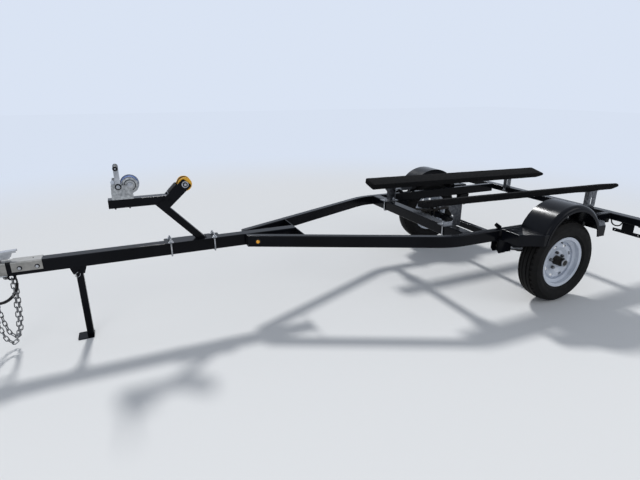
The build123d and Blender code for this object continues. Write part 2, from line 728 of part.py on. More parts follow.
# Winch stand: base plate, leaning post and level arm, welded together.
POST_TUBE = 44.5
ARM_TOP, ARM_H = 841, 50.8
ARM_FRONT, ARM_REAR = AXLE_X - 2840, AXLE_X - 2488
BASE_FRONT, BASE_REAR, BASE_T, BASE_W = AXLE_X - 2560, AXLE_X - 2220, 6, 108
POST_FOOT_X, POST_HEAD_X = AXLE_X - 2335, AXLE_X - 2560
base_top = RAIL_TOP + BASE_T
arm_under = ARM_TOP - ARM_H
STAND_BOLT_X = (AXLE_X - 2524, AXLE_X - 2256)
STAND_ROD = 5
STOP_BOLTS = ((AXLE_X - 2535, 812), (AXLE_X - 2502, 812))
STOP_BOLT_R = 5
stand_leg_y = TUBE / 2 + STAND_ROD + 1
post_way = Vector(POST_HEAD_X - POST_FOOT_X, 0, arm_under - base_top)
with BuildPart() as stand:
    with BuildSketch(Plane(origin=(POST_FOOT_X, 0, base_top), x_dir=(0, 1, 0), z_dir=post_way)):
        tube_section(POST_TUBE, POST_TUBE)
    extrude(amount=post_way.length + 60, both=True)
    split(bisect_by=Plane.XY.offset(base_top), keep=Keep.TOP)
    split(bisect_by=Plane.XY.offset(arm_under), keep=Keep.BOTTOM)
    with BuildSketch(Plane.XY.offset(RAIL_TOP)):
        with Locations(((BASE_FRONT + BASE_REAR) / 2, 0)):
            RectangleRounded(BASE_REAR - BASE_FRONT, BASE_W, 8)
        with Locations(*[(x, s * stand_leg_y) for x in STAND_BOLT_X for s in (1, -1)]):
            Circle(STAND_ROD + 0.5, mode=Mode.SUBTRACT)
    extrude(amount=BASE_T)
    with BuildSketch(Plane.YZ.offset(ARM_FRONT)):
        with Locations((0, ARM_TOP - ARM_H / 2)):
            tube_section(TUBE, ARM_H)
    extrude(amount=ARM_REAR - ARM_FRONT)
    with BuildSketch(Plane.XZ):
        with Locations(*STOP_BOLTS):
            Circle(STOP_BOLT_R + 0.2)
    extrude(amount=TUBE, both=True, mode=Mode.SUBTRACT)
stand.part.label = "winch_stand"
export_step(stand.part, "parts/winch_stand.step")

# Stand U-bolts: square-bent rod under the tongue, its legs up through the base.
with BuildPart() as stand_bolts:
    for x in STAND_BOLT_X:
        with BuildLine() as bolt_path:
            FilletPolyline(
                (x, -stand_leg_y, base_top + 22),
                (x, -stand_leg_y, TONGUE_UNDER - STAND_ROD - 0.4),
                (x, stand_leg_y, TONGUE_UNDER - STAND_ROD - 0.4),
                (x, stand_leg_y, base_top + 22),
                radius=6,
            )
        with BuildSketch(Plane(origin=bolt_path.line @ 0, z_dir=bolt_path.line % 0)):
            Circle(STAND_ROD)
        sweep(path=bolt_path.line)
stand_bolts.part.label = "stand_u_bolts"
export_step(stand_bolts.part, "parts/stand_u_bolts.step")

# Bow stop: channel of 5 mm plate, leaning back over the arm's rear end.
STOP_T, STOP_HALF = 5, TUBE / 2 + 5.2
ROLLER_X, ROLLER_Z, ROLLER_R = AXLE_X - 2406, 901, 42
ROLLER_HALF, ROLLER_FLANGE, ROLLER_GROOVE_R = 36, 9, 20
ROLLER_BOLT_R = 8
stop_front_top = (AXLE_X - 2415, 936)
stop_rear_top = (AXLE_X - 2367, 893)
stop_rear_low = (AXLE_X - 2534, 742)
stop_front_low = (AXLE_X - 2576, 792)
with BuildPart() as bow_stop:
    with BuildSketch(Plane.XZ):
        outline((stop_front_top, stop_rear_top, stop_rear_low, stop_front_low))
    extrude(amount=STOP_HALF, both=True)
    fillet(bow_stop.edges().filter_by(Axis.Y), 9)
    with BuildSketch(Plane.XZ):
        with Locations((ROLLER_X, ROLLER_Z)):
            Rectangle(560, 400)
    extrude(amount=STOP_HALF - STOP_T, both=True, mode=Mode.SUBTRACT)
    web_way = Vector(*stop_front_low) - Vector(*stop_front_top)
    web_start = Vector(*stop_front_top) + web_way.normalized() * 62
    web_end = Vector(*stop_front_top) + web_way.normalized() * 128
    inward = Vector(-web_way.Y, web_way.X).normalized() * STOP_T
    with BuildSketch(Plane.XZ):
        outline(
            [(p.X, p.Y) for p in (web_start, web_end, web_end + inward, web_start + inward)]
        )
    extrude(amount=STOP_HALF - STOP_T, both=True)
    with BuildSketch(Plane.XZ):
        with Locations((ROLLER_X, ROLLER_Z)):
            Circle(ROLLER_BOLT_R + 0.2)
        with Locations(*STOP_BOLTS):
            Circle(STOP_BOLT_R + 0.2)
    extrude(amount=STOP_HALF, both=True, mode=Mode.SUBTRACT)
bow_stop.part.label = "bow_stop"
export_step(bow_stop.part, "parts/bow_stop.step")

# Bow roller: moulded spool with two flanges and a rounded groove, on one bolt.
groove_half = ROLLER_HALF - ROLLER_FLANGE
with BuildPart() as roller:
    with BuildSketch(Plane.YZ):
        with BuildLine():
            Polyline(
                (ROLLER_HALF, ROLLER_BOLT_R + 0.05),
                (ROLLER_HALF, ROLLER_R - 6),
                (ROLLER_HALF - 4, ROLLER_R),
                (groove_half, ROLLER_R),
            )
            ThreePointArc(
                (groove_half, ROLLER_R), (0, ROLLER_GROOVE_R), (-groove_half, ROLLER_R)
            )
            Polyline(
                (-groove_half, ROLLER_R),
                (4 - ROLLER_HALF, ROLLER_R),
                (-ROLLER_HALF, ROLLER_R - 6),
                (-ROLLER_HALF, ROLLER_BOLT_R + 0.05),
                (ROLLER_HALF, ROLLER_BOLT_R + 0.05),
            )
        make_face()
    revolve(axis=Axis.Y)
roller_solid = roller.part.moved(Location((ROLLER_X, 0, ROLLER_Z)))
roller_solid.label = "bow_roller"
export_step(roller_solid, "parts/bow_roller.step")

with BuildPart() as roller_bolt:
    with BuildSketch(Plane.XZ):
        with Locations((ROLLER_X, ROLLER_Z)):
            Circle(ROLLER_BOLT_R)
    extrude(amount=STOP_HALF + 12, both=True)
    for side in (1, -1):
        with BuildSketch(Plane.XZ.offset(side * STOP_HALF)):
            with Locations((ROLLER_X, ROLLER_Z)):
                Circle(20)
        extrude(amount=side * 3)
        with BuildSketch(Plane.XZ.offset(side * (STOP_HALF + 3))):
            with Locations((ROLLER_X, ROLLER_Z)):
                RegularPolygon(13, 6)
        extrude(amount=side * 8)
roller_bolt.part.label = "roller_bolt"
export_step(roller_bolt.part, "parts/roller_bolt.step")

# Stop bolts: two through the bow stop's cheeks and the arm between them.
with BuildPart() as stop_bolts:
    with BuildSketch(Plane.XZ):
        with Locations(*STOP_BOLTS):
            Circle(STOP_BOLT_R)
    extrude(amount=STOP_HALF + 10, both=True)
    for side in (1, -1):
        with BuildSketch(Plane.XZ.offset(side * STOP_HALF)):
            with Locations(*STOP_BOLTS):
                RegularPolygon(9.5, 6)
        extrude(amount=side * 7)
stop_bolts.part.label = "stop_bolts"
export_step(stop_bolts.part, "parts/stop_bolts.step")

# Winch: pressed frame, geared drum with its strap, cranked pinion.
CHEEK_OUT, CHEEK_T = 38, 3
DRUM_X, DRUM_Z = AXLE_X - 2712, 920
GEAR_MODULE, DRUM_TEETH, PINION_TEETH = 2.625, 36, 12
PINION_X = DRUM_X - GEAR_MODULE * (DRUM_TEETH + PINION_TEETH) / 2
DRUM_SHAFT_R, CRANK_SHAFT_R, SHAFT_PLAY = 8, 8, 0.05
FRAME_FRONT, FRAME_REAR = AXLE_X - 2818, AXLE_X - 2700
CHEEK_TOP, EAR_TOP = 925, 957
DRUM_LOBE_R, PINION_LOBE_R = 17, 15
with BuildPart() as frame:
    with BuildSketch(Plane.XZ):
        outline(
            (
                (FRAME_REAR, ARM_TOP),
                (FRAME_FRONT, ARM_TOP),
                (FRAME_FRONT + 5, CHEEK_TOP),
                (FRAME_FRONT + 15, EAR_TOP),
                (FRAME_FRONT + 29, EAR_TOP),
                (FRAME_FRONT + 33, CHEEK_TOP),
                (FRAME_REAR, CHEEK_TOP),
            )
        )
        with Locations((DRUM_X, DRUM_Z)):
            Circle(DRUM_LOBE_R)
        with Locations((PINION_X, DRUM_Z)):
            Circle(PINION_LOBE_R)
    extrude(amount=CHEEK_OUT, both=True)
    with BuildSketch(Plane.XZ):
        with Locations((DRUM_X, ARM_TOP + CHEEK_T + 150)):
            Rectangle(400, 300)
    extrude(amount=CHEEK_OUT - CHEEK_T, both=True, mode=Mode.SUBTRACT)
    with BuildSketch(Plane.XZ):
        with Locations((DRUM_X, DRUM_Z), (PINION_X, DRUM_Z)):
            Circle(DRUM_SHAFT_R + SHAFT_PLAY)
    extrude(amount=CHEEK_OUT, both=True, mode=Mode.SUBTRACT)
frame.part.label = "winch_frame"
export_step(frame.part, "parts/winch_frame.step")

GEAR_IN, GEAR_T = 30, 4
TOOTH_THICK, FLANK = 3.3, 20
flank_tan = tan(radians(FLANK))


def toothed_wheel(teeth, first_angle):
    """A spur wheel's face, centred in the open sketch, one tooth at first_angle."""
    pitch_r = GEAR_MODULE * teeth / 2
    root_r = pitch_r - 1.25 * GEAR_MODULE
    tip_r = pitch_r + 0.8 * GEAR_MODULE
    root_half = TOOTH_THICK / 2 + (pitch_r - root_r) * flank_tan
    tip_half = TOOTH_THICK / 2 - (tip_r - pitch_r) * flank_tan
    Circle(root_r + 0.3)
    with PolarLocations(0.001, teeth, start_angle=first_angle):
        Polygon(
            (root_r - 0.5, -root_half),
            (tip_r, -tip_half),
            (tip_r, tip_half),
            (root_r - 0.5, root_half),
            align=None,
        )


CORE_R, DRUM_DISC_R = 16, 53
with BuildPart() as drum:
    with BuildSketch(Plane.XZ):
        Circle(DRUM_SHAFT_R)
    extrude(amount=CHEEK_OUT + 6, both=True)
    with BuildSketch(Plane.XZ):
        Circle(CORE_R)
    extrude(amount=GEAR_IN, both=True)
    with BuildSketch(Plane.XZ.offset(GEAR_IN - GEAR_T)):
        toothed_wheel(DRUM_TEETH, 0)
    extrude(amount=GEAR_T)
    with BuildSketch(Plane.XZ.offset(GEAR_T - GEAR_IN)):
        Circle(DRUM_DISC_R)
    extrude(amount=-GEAR_T / 2)
drum_solid = drum.part.moved(Location((DRUM_X, 0, DRUM_Z)))
drum_solid.label = "winch_drum"
export_step(drum_solid, "parts/winch_drum.step")

STRAP_HALF, STRAP_R = 25, 48
with BuildPart() as strap:
    with BuildSketch(Plane.XZ):
        with Locations((DRUM_X, DRUM_Z)):
            Circle(STRAP_R)
            Circle(CORE_R + 0.3, mode=Mode.SUBTRACT)
    extrude(amount=STRAP_HALF, both=True)
strap.part.label = "winch_strap"
export_step(strap.part, "parts/winch_strap.step")

CRANK_REACH, CRANK_T, CRANK_Y = 118, 6, 56
GRIP_R, GRIP_FROM, GRIP_TO = 11, 66, 158
with BuildPart() as crank:
    with BuildSketch(Plane.XZ.offset(-CHEEK_OUT - 6)):
        Circle(CRANK_SHAFT_R)
    extrude(amount=CRANK_Y + CHEEK_OUT + 6)
    with BuildSketch(Plane.XZ.offset(GEAR_IN - GEAR_T - 0.5)):
        toothed_wheel(PINION_TEETH, 180 / PINION_TEETH)
    extrude(amount=GEAR_T + 1)
    with BuildSketch(Plane.XZ.offset(CRANK_Y)):
        with Locations((0, CRANK_REACH / 2)):
            SlotCenterToCenter(CRANK_REACH, 28, rotation=90)
    extrude(amount=CRANK_T)
    with BuildSketch(Plane.XZ.offset(CRANK_Y + CRANK_T)):
        with Locations((0, CRANK_REACH)):
            Circle(6)
    extrude(amount=GRIP_FROM - CRANK_Y - CRANK_T)
    with BuildSketch(Plane.XZ.offset(GRIP_FROM)):
        with Locations((0, CRANK_REACH)):
            Circle(GRIP_R)
    extrude(amount=GRIP_TO - GRIP_FROM)
    with BuildSketch(Plane.XZ.offset(CRANK_Y + CRANK_T)):
        RegularPolygon(12, 6)
    extrude(amount=7)
crank_solid = crank.part.moved(Location((PINION_X, 0, DRUM_Z)))
crank_solid.label = "winch_crank"
export_step(crank_solid, "parts/winch_crank.step")

# Marker lamps: small round lamps on the outer faces of the slanting rails.
MARKER_X, MARKER_Z, MARKER_R, MARKER_T = AXLE_X - 1990, 503, 19, 14
marker_out = Vector(-sin(radians(V_ANGLE)), cos(radians(V_ANGLE)), 0)
marker_at = Vector(MARKER_X, rail_face_y(MARKER_X, 1), MARKER_Z)
with BuildPart() as marker:
    with BuildSketch(Plane(origin=marker_at, z_dir=marker_out)):
        Circle(MARKER_R)
    extrude(amount=MARKER_T)
    mirror(about=Plane.XZ)
marker.part.label = "marker_lamps"
export_step(marker.part, "parts/marker_lamps.step")

# Tail lamps: boxes on plates under the ends of the rear crossmember.
LAMP_W, LAMP_H, LAMP_D = 110, 78, 50
LAMP_Y = REAR_CROSS_HALF - LAMP_W / 2
cross_rear_x = REAR_CROSS_X + REAR_CROSS_W / 2
with BuildPart() as lamp:
    with BuildSketch(Plane.YZ.offset(cross_rear_x)):
        with Locations((LAMP_Y, RAIL_TOP - LAMP_H / 2)):
            RectangleRounded(LAMP_W, LAMP_H, 10)
    extrude(amount=LAMP_D)
export_pair(lamp.part, "tail_lamp")

# Plate bracket: hanger and drilled strip under the left end of the crossmember.
PLATE_Y, PLATE_W, PLATE_T = -756, 90, 4
STRIP_Y, STRIP_Z, STRIP_W, STRIP_H = -752, 403, 215, 26
PLATE_HOLES, PLATE_HOLE_R = 177.8, 3.5
with BuildPart() as plate:
    with BuildSketch(Plane.YZ.offset(cross_rear_x - PLATE_T - 6)):
        with Locations((PLATE_Y, (RAIL_TOP - REAR_CROSS_H + STRIP_Z) / 2)):
            Rectangle(PLATE_W, RAIL_TOP - REAR_CROSS_H - STRIP_Z)
        with Locations((STRIP_Y, STRIP_Z)):
            RectangleRounded(STRIP_W, STRIP_H, 6)
            with GridLocations(PLATE_HOLES, 1, 2, 1):
                Circle(PLATE_HOLE_R, mode=Mode.SUBTRACT)
    extrude(amount=PLATE_T)
plate.part.label = "plate_bracket"
export_step(plate.part, "parts/plate_bracket.step")

# Bunks: carpeted boards, tipped inward and a little down towards the stern.
BUNK_Y, BUNK_TILT, BUNK_PITCH = 373, 13, 1.0
BUNK_FRONT, BUNK_REAR = AXLE_X - 893, AXLE_X + 1025
BUNK_FRONT_Z, BUNK_W, BUNK_T = 704, 148, 46
BUNK_SLOPE = tan(radians(BUNK_TILT))
bunk_across = Vector(0, cos(radians(BUNK_TILT)), sin(radians(BUNK_TILT)))
bunk_fall = (BUNK_REAR - BUNK_FRONT) * tan(radians(BUNK_PITCH))
bunk_way = Vector(BUNK_REAR - BUNK_FRONT, 0, -bunk_fall)


def bunk_z(x):
    """Height of the board's middle at station x."""
    return BUNK_FRONT_Z - (x - BUNK_FRONT) * tan(radians(BUNK_PITCH))


with BuildPart() as bunk:
    with BuildSketch(
        Plane(origin=(BUNK_FRONT, BUNK_Y, BUNK_FRONT_Z), x_dir=bunk_across, z_dir=bunk_way)
    ):
        RectangleRounded(BUNK_W, BUNK_T, 9)
    extrude(amount=bunk_way.length)
export_pair(bunk.part, "bunk")


def bunk_under(x, y):
    """Height of the board's sloping underside at a station and a distance out."""
    middle = bunk_z(x) - BUNK_T / 2 / cos(radians(BUNK_TILT))
    return middle + (y - BUNK_Y) * BUNK_SLOPE


CLIP_T = 5
CLIP_IN, CLIP_OUT = BUNK_Y - 40, 455


def clip_outline(x, inner, outer, thickness):
    """A sloping strip just under the board, drawn in a sketch across the trailer."""
    outline(
        (
            (inner, bunk_under(x, inner) - 0.3),
            (outer, bunk_under(x, outer) - 0.3),
            (outer, bunk_under(x, outer) - 0.3 - thickness),
            (inner, bunk_under(x, inner) - 0.3 - thickness),
        )
    )


# Front bunk brackets: an angle on the crossmember, held down by a U-bolt.
FOOT_FRONT, FOOT_REAR, FOOT_IN = AXLE_X - 745, AXLE_X - 612, 352
ANGLE_IN, ANGLE_T, ANGLE_W = 432, 5, 32
GUSSET_FRONT, GUSSET_DEEP = AXLE_X - 722, 26
WAIST_FRONT, WAIST_Z = AXLE_X - 676, 610
FRONT_BOLT_Y, FRONT_ROD = 390, 5
front_bolt_x = TUBE / 2 + FRONT_ROD + 0.5
gusset_top = bunk_under(FOOT_REAR, ANGLE_IN) - 2
with BuildPart() as front_bracket:
    with BuildSketch(Plane.XY.offset(RAIL_TOP)):
        outline(
            (
                (FOOT_FRONT, FOOT_IN),
                (FOOT_REAR, FOOT_IN),
                (FOOT_REAR, ANGLE_IN + ANGLE_T),
                (FOOT_FRONT, ANGLE_IN + ANGLE_T),
            )
        )
        with Locations(
            (FRONT_CROSS_X - front_bolt_x, FRONT_BOLT_Y),
            (FRONT_CROSS_X + front_bolt_x, FRONT_BOLT_Y),
        ):
            Circle(FRONT_ROD + 0.3, mode=Mode.SUBTRACT)
    extrude(amount=ANGLE_T)
    with BuildSketch(Plane.XZ.offset(-ANGLE_IN)):
        outline(
            (
                (WAIST_FRONT, RAIL_TOP),
                (WAIST_FRONT, WAIST_Z),
                (GUSSET_FRONT, gusset_top - GUSSET_DEEP),
                (GUSSET_FRONT, gusset_top),
                (FOOT_REAR, gusset_top),
                (FOOT_REAR, RAIL_TOP),
            )
        )
    extrude(amount=-ANGLE_T)
    with BuildSketch(Plane.YZ.offset(FOOT_REAR)):
        outline(
            (
                (ANGLE_IN - ANGLE_W, RAIL_TOP),
                (ANGLE_IN - ANGLE_W, bunk_under(FOOT_REAR, ANGLE_IN - ANGLE_W) - 1),
                (ANGLE_IN, bunk_under(FOOT_REAR, ANGLE_IN) - 1),
                (ANGLE_IN, RAIL_TOP),
            )
        )
    extrude(amount=-ANGLE_T)
    with BuildSketch(Plane.YZ.offset(FOOT_REAR)):
        clip_outline(FOOT_REAR, CLIP_IN, ANGLE_IN + ANGLE_T, CLIP_T)
    extrude(amount=GUSSET_FRONT - FOOT_REAR)
export_pair(front_bracket.part, "front_bunk_bracket")

with BuildPart() as front_bolt:
    with BuildLine() as front_bolt_path:
        FilletPolyline(
            (FRONT_CROSS_X - front_bolt_x, FRONT_BOLT_Y, RAIL_TOP + 24),
            (FRONT_CROSS_X - front_bolt_x, FRONT_BOLT_Y, RAIL_UNDER - FRONT_ROD - 0.4),
            (FRONT_CROSS_X + front_bolt_x, FRONT_BOLT_Y, RAIL_UNDER - FRONT_ROD - 0.4),
            (FRONT_CROSS_X + front_bolt_x, FRONT_BOLT_Y, RAIL_TOP + 24),
            radius=6,
        )
    with BuildSketch(Plane(origin=front_bolt_path.line @ 0, z_dir=front_bolt_path.line % 0)):
        Circle(FRONT_ROD)
    sweep(path=front_bolt_path.line)
    mirror(about=Plane.XZ)
front_bolt.part.label = "bunk_u_bolts"
export_step(front_bolt.part, "parts/bunk_u_bolts.step")

# Rear bunk brackets: a slotted angle on the crossmember, its front leg bolted through.
UPRIGHT_W, UPRIGHT_T, UPRIGHT_LOW = 36, 5, 493
SLOT_LOW, SLOT_HIGH, SLOT_W = 556, 618, 16
front_face, rear_face = REAR_CROSS_X - REAR_CROSS_W / 2, REAR_CROSS_X + REAR_CROSS_W / 2
leg_front, leg_rear = front_face - UPRIGHT_T, rear_face + 10
upright_in, upright_out = UPRIGHT_Y - UPRIGHT_W / 2, UPRIGHT_Y + UPRIGHT_W / 2
with BuildPart() as rear_bracket:
    with BuildSketch(Plane.YZ.offset(leg_front)):
        outline(
            (
                (upright_in, UPRIGHT_LOW),
                (upright_in, bunk_under(leg_rear, upright_in) - 3),
                (upright_out, bunk_under(leg_rear, upright_out) - 3),
                (upright_out, UPRIGHT_LOW),
            )
        )
    extrude(amount=UPRIGHT_T)
    with BuildSketch(Plane.XZ.offset(-upright_out)):
        outline(
            (
                (leg_front, RAIL_TOP),
                (leg_front, bunk_under(leg_rear, upright_out - UPRIGHT_T) - 3),
                (leg_rear, bunk_under(leg_rear, upright_out - UPRIGHT_T) - 3),
                (leg_rear, RAIL_TOP),
            )
        )
        with Locations((REAR_CROSS_X - 4, (SLOT_LOW + SLOT_HIGH) / 2)):
            SlotOverall(SLOT_HIGH - SLOT_LOW, SLOT_W, rotation=90, mode=Mode.SUBTRACT)
    extrude(amount=UPRIGHT_T)
    with BuildSketch(Plane.YZ.offset(leg_front)):
        clip_outline(leg_rear, CLIP_IN, CLIP_OUT, CLIP_T)
    extrude(amount=leg_rear - leg_front)
    with BuildSketch(Plane.YZ.offset(leg_front - 10)):
        with Locations((UPRIGHT_Y, UPRIGHT_BOLT_Z)):
            Circle(UPRIGHT_BOLT_R)
    extrude(amount=REAR_CROSS_W + UPRIGHT_T + 20)
export_pair(rear_bracket.part, "rear_bunk_bracket")

# Leg bracket: two cheeks welded under the tongue, with the leg's pin.
LEG_X, LEG_Z, LEG_HALF = AXLE_X - 3050, 438, 19
CHEEK_IN, CHEEK_OUTER, PIN_R = LEG_HALF + 3, LEG_HALF + 8, 6
with BuildPart() as leg_bracket:
    with BuildSketch(Plane.XZ):
        outline(
            (
                (LEG_X - 45, TONGUE_UNDER),
                (LEG_X + 45, TONGUE_UNDER),
                (LEG_X + 30, LEG_Z - 18),
                (LEG_X - 30, LEG_Z - 18),
            )
        )
    extrude(amount=CHEEK_OUTER, both=True)
    with BuildSketch(Plane.XZ):
        with Locations((LEG_X, LEG_Z)):
            Rectangle(200, 200)
    extrude(amount=CHEEK_IN, both=True, mode=Mode.SUBTRACT)
    with BuildSketch(Plane.XZ):
        with Locations((LEG_X, LEG_Z)):
            Circle(PIN_R)
    extrude(amount=CHEEK_OUTER + 7, both=True)
leg_bracket.part.label = "leg_bracket"
export_step(leg_bracket.part, "parts/leg_bracket.step")

# Parking leg: square tube with a flat foot; it folds back under the tongue.
FOOT_T, FOOT_BACK, FOOT_AHEAD, FOOT_HALF = 6, 20, 70, 45
with BuildPart() as leg:
    with BuildSketch(Plane.XY.offset(FOOT_T)):
        with Locations((LEG_X, 0)):
            tube_section(2 * LEG_HALF, 2 * LEG_HALF)
    extrude(amount=LEG_Z - LEG_HALF - FOOT_T)
    with BuildSketch(Plane.XZ):
        with Locations((LEG_X, LEG_Z)):
            Circle(LEG_HALF)
        with Locations((LEG_X, LEG_Z - LEG_HALF)):
            Rectangle(2 * LEG_HALF, 2 * LEG_HALF)
    extrude(amount=LEG_HALF, both=True)
    with BuildSketch(Plane.XZ):
        with Locations((LEG_X, LEG_Z)):
            Circle(PIN_R + 0.05)
    extrude(amount=LEG_HALF, both=True, mode=Mode.SUBTRACT)
    with BuildSketch():
        with Locations((LEG_X + (FOOT_BACK - FOOT_AHEAD) / 2, 0)):
            RectangleRounded(FOOT_BACK + FOOT_AHEAD, 2 * FOOT_HALF, 8)
    extrude(amount=FOOT_T)
leg.part.label = "parking_leg"
export_step(leg.part, "parts/parking_leg.step")

# Light cable: out of the tongue through a grommet, down, and up over the coupler.
CABLE_R = 3.5
GROMMET_R, GROMMET_T = 9, 5
CABLE_X = AXLE_X - 3367
cable_start = (CABLE_X, 0, TONGUE_UNDER - GROMMET_T)
cable_route = [
    cable_start,
    (CABLE_X, 0, 415),
    (AXLE_X - 3375, -3, 368),
    (AXLE_X - 3397, -11, 326),
    (AXLE_X - 3432, -34, 302),
    (AXLE_X - 3472, -60, 310),
    (AXLE_X - 3510, -70, 347),
    (AXLE_X - 3521, -74, 398),
    (AXLE_X - 3506, -74, 449),
    (AXLE_X - 3471, -70, 497),
    (AXLE_X - 3443, -58, 533),
    (AXLE_X - 3428, -24, 549.5),
    (AXLE_X - 3425, 24, 549.5),
    (AXLE_X - 3428, 56, 532),
    (AXLE_X - 3432, 64, 494),
    (AXLE_X - 3432, 64, 450),
]
cable_runs = [Vector(b) - Vector(a) for a, b in zip(cable_route, cable_route[1:])]
cable_radii = [
    0.45 * min(a.length, b.length) / tan(radians(a.get_angle(b)) / 2)
    for a, b in zip(cable_runs, cable_runs[1:])
]
print("cable radii", [round(r) for r in cable_radii])
with BuildPart() as cable:
    with BuildLine() as cable_path:
        FilletPolyline(*cable_route, radius=cable_radii)
    with BuildSketch(Plane(origin=cable_start, z_dir=cable_path.line % 0)):
        Circle(CABLE_R)
    sweep(path=cable_path.line)
cable.part.label = "light_cable"
export_step(cable.part, "parts/light_cable.step")
section_length = cable.part.volume / (pi * CABLE_R**2)
print("cable length", round(cable_path.wire().length), "by volume", round(section_length))

with BuildPart() as grommet:
    with BuildSketch(Plane.XY.offset(TONGUE_UNDER - GROMMET_T)):
        with Locations((CABLE_X, 0)):
            Circle(GROMMET_R)
    extrude(amount=GROMMET_T)
grommet.part.label = "cable_grommet"
export_step(grommet.part, "parts/cable_grommet.step")

# Plug: flat moulded body that hangs on the end of the cable.
PLUG_L, PLUG_W, PLUG_T = 38, 26, 10
plug_x, plug_y, plug_top = cable_route[-1]
with BuildPart() as plug:
    with BuildSketch(Plane.XY.offset(plug_top - PLUG_L)):
        with Locations((plug_x, plug_y)):
            RectangleRounded(PLUG_W, PLUG_T, 3)
    extrude(amount=PLUG_L)
plug.part.label = "cable_plug"
export_step(plug.part, "parts/cable_plug.step")
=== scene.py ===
# %% [markdown]
# A boat trailer is a frame of welded steel tube with many small bought parts bolted to it.
# The frame, axle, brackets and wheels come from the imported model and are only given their
# finish here. Whatever has a soft or finely moulded surface is modelled in this file: tyre
# treads, chain links, carpeted boards, webbing, lamps, cable and fasteners.

# %% Load the frame and keep its box
import json
from math import atan, cos, pi, radians, sin, tan

import bmesh
import bpy
from mathutils import Matrix, Vector


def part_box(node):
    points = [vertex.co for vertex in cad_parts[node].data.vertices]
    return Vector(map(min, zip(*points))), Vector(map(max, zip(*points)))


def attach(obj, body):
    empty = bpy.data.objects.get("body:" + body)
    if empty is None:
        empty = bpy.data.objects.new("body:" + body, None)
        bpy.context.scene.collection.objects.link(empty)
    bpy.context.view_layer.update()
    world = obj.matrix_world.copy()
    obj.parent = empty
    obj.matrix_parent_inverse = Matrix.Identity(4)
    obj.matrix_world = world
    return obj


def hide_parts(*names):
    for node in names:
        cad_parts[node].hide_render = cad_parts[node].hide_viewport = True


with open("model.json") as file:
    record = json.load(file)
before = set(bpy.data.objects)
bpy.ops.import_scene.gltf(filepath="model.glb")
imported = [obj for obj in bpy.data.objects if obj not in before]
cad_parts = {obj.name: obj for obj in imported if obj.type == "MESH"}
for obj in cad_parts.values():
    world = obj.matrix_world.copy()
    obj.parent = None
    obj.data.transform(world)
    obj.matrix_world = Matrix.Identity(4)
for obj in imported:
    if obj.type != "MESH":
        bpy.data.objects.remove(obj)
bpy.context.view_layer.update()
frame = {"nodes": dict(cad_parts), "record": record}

# %% [markdown]
# A trailer is set out from its axle: its maker measures every bracket forwards or backwards
# from there. The scene's own coordinates would do as well, but a number in them says nothing
# about where on the trailer it is. So distances along the trailer are counted from the axle,
# with the hitch on the negative side, and all lengths are metres.

# %% Driving sizes
axle_low, axle_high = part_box("axle_beam")
AXLE_X = (axle_low.x + axle_high.x) / 2
HUB_Z = (axle_low.z + axle_high.z) / 2
UNDER_Z, DECK_Z = (corner.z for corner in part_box("tongue"))
SIDES = {"left": -1, "right": 1}
CHASSIS = "chassis"
UP, DOWN, ACROSS, NEAR = (0, 0, 1), (0, 0, -1), (0, 1, 0), (0, -1, 0)


def at_axle(x, y, z):
    """A point whose distance along the trailer is counted from the axle."""
    return Vector((AXLE_X + x, y, z))


print("axle at", round(AXLE_X, 4), "hub height", round(HUB_Z, 4), "deck", round(DECK_Z, 4))

# %% [markdown]
# The camera stands at the left front of the trailer, a little above eye height for someone
# crouching, and looks down along the frame. It could be aimed with a constraint, but two
# angles and a place are easier to compare with a picture. A lens is a ratio: the focal length
# in pixels over the picture's width gives the millimetres on Blender's 36 mm film.

# %% Camera
PICTURE_WIDTH, FOCAL_PIXELS, FILM_WIDTH = 640, 443, 36
CAMERA_PLACE = at_axle(-2.712, -2.789, 1.441)
CAMERA_DOWN, CAMERA_TURN = 18.7, -23.5

camera_data = bpy.data.cameras.new("camera")
camera_data.sensor_width = FILM_WIDTH
camera_data.lens = FILM_WIDTH * FOCAL_PIXELS / PICTURE_WIDTH
camera = bpy.data.objects.new("camera", camera_data)
camera.location = CAMERA_PLACE
camera.rotation_euler = (radians(90 - CAMERA_DOWN), 0, radians(CAMERA_TURN))
bpy.context.collection.objects.link(camera)
bpy.context.scene.camera = camera
print("lens", round(camera_data.lens, 2), "mm")

# %% [markdown]
# A material in Blender is a small circuit of nodes. Each node is made, set and wired by the
# same three lines, which hide what the circuit does when they are written out many times.
# This helper takes them up: it is given, for each socket, either a value or the output that
# feeds it.

# %% Make and wire one node
def add_node(tree, kind, feeds=None, **settings):
    """A shader node; feeds gives a value or another node's output for each named socket."""
    node = tree.nodes.new("ShaderNode" + kind)
    for label, value in settings.items():
        setattr(node, label, value)
    for socket, source in (feeds or {}).items():
        if isinstance(source, bpy.types.NodeSocket):
            tree.links.new(source, node.inputs[socket])
        else:
            node.inputs[socket].default_value = source
    return node


def multiply(tree, first, second, clamp=False):
    """The product of two outputs."""
    node = add_node(tree, "Math", {0: first, 1: second}, operation="MULTIPLY", use_clamp=clamp)
    return node.outputs["Value"]


def noise_on(tree, scale, detail, roughness=0.55):
    """The values of a noise texture that sits on the object's own coordinates."""
    place = add_node(tree, "TexCoord").outputs["Object"]
    feeds = {"Vector": place, "Scale": scale, "Detail": detail, "Roughness": roughness}
    return add_node(tree, "TexNoise", feeds).outputs["Fac"]


# %% [markdown]
# Real paint, zinc and rubber are never one flat colour. The first effect that they share is
# a soft blotchy variation of colour and gloss. It could be copied into every material, but
# a node group with named sockets is made once and can be given other colours each time.

# %% Blotches
FLOAT, COLOUR = "NodeSocketFloat", "NodeSocketColor"
GREY = (0.5, 0.5, 0.5, 1)
FINISH = {"Colour": COLOUR, "Roughness": FLOAT}


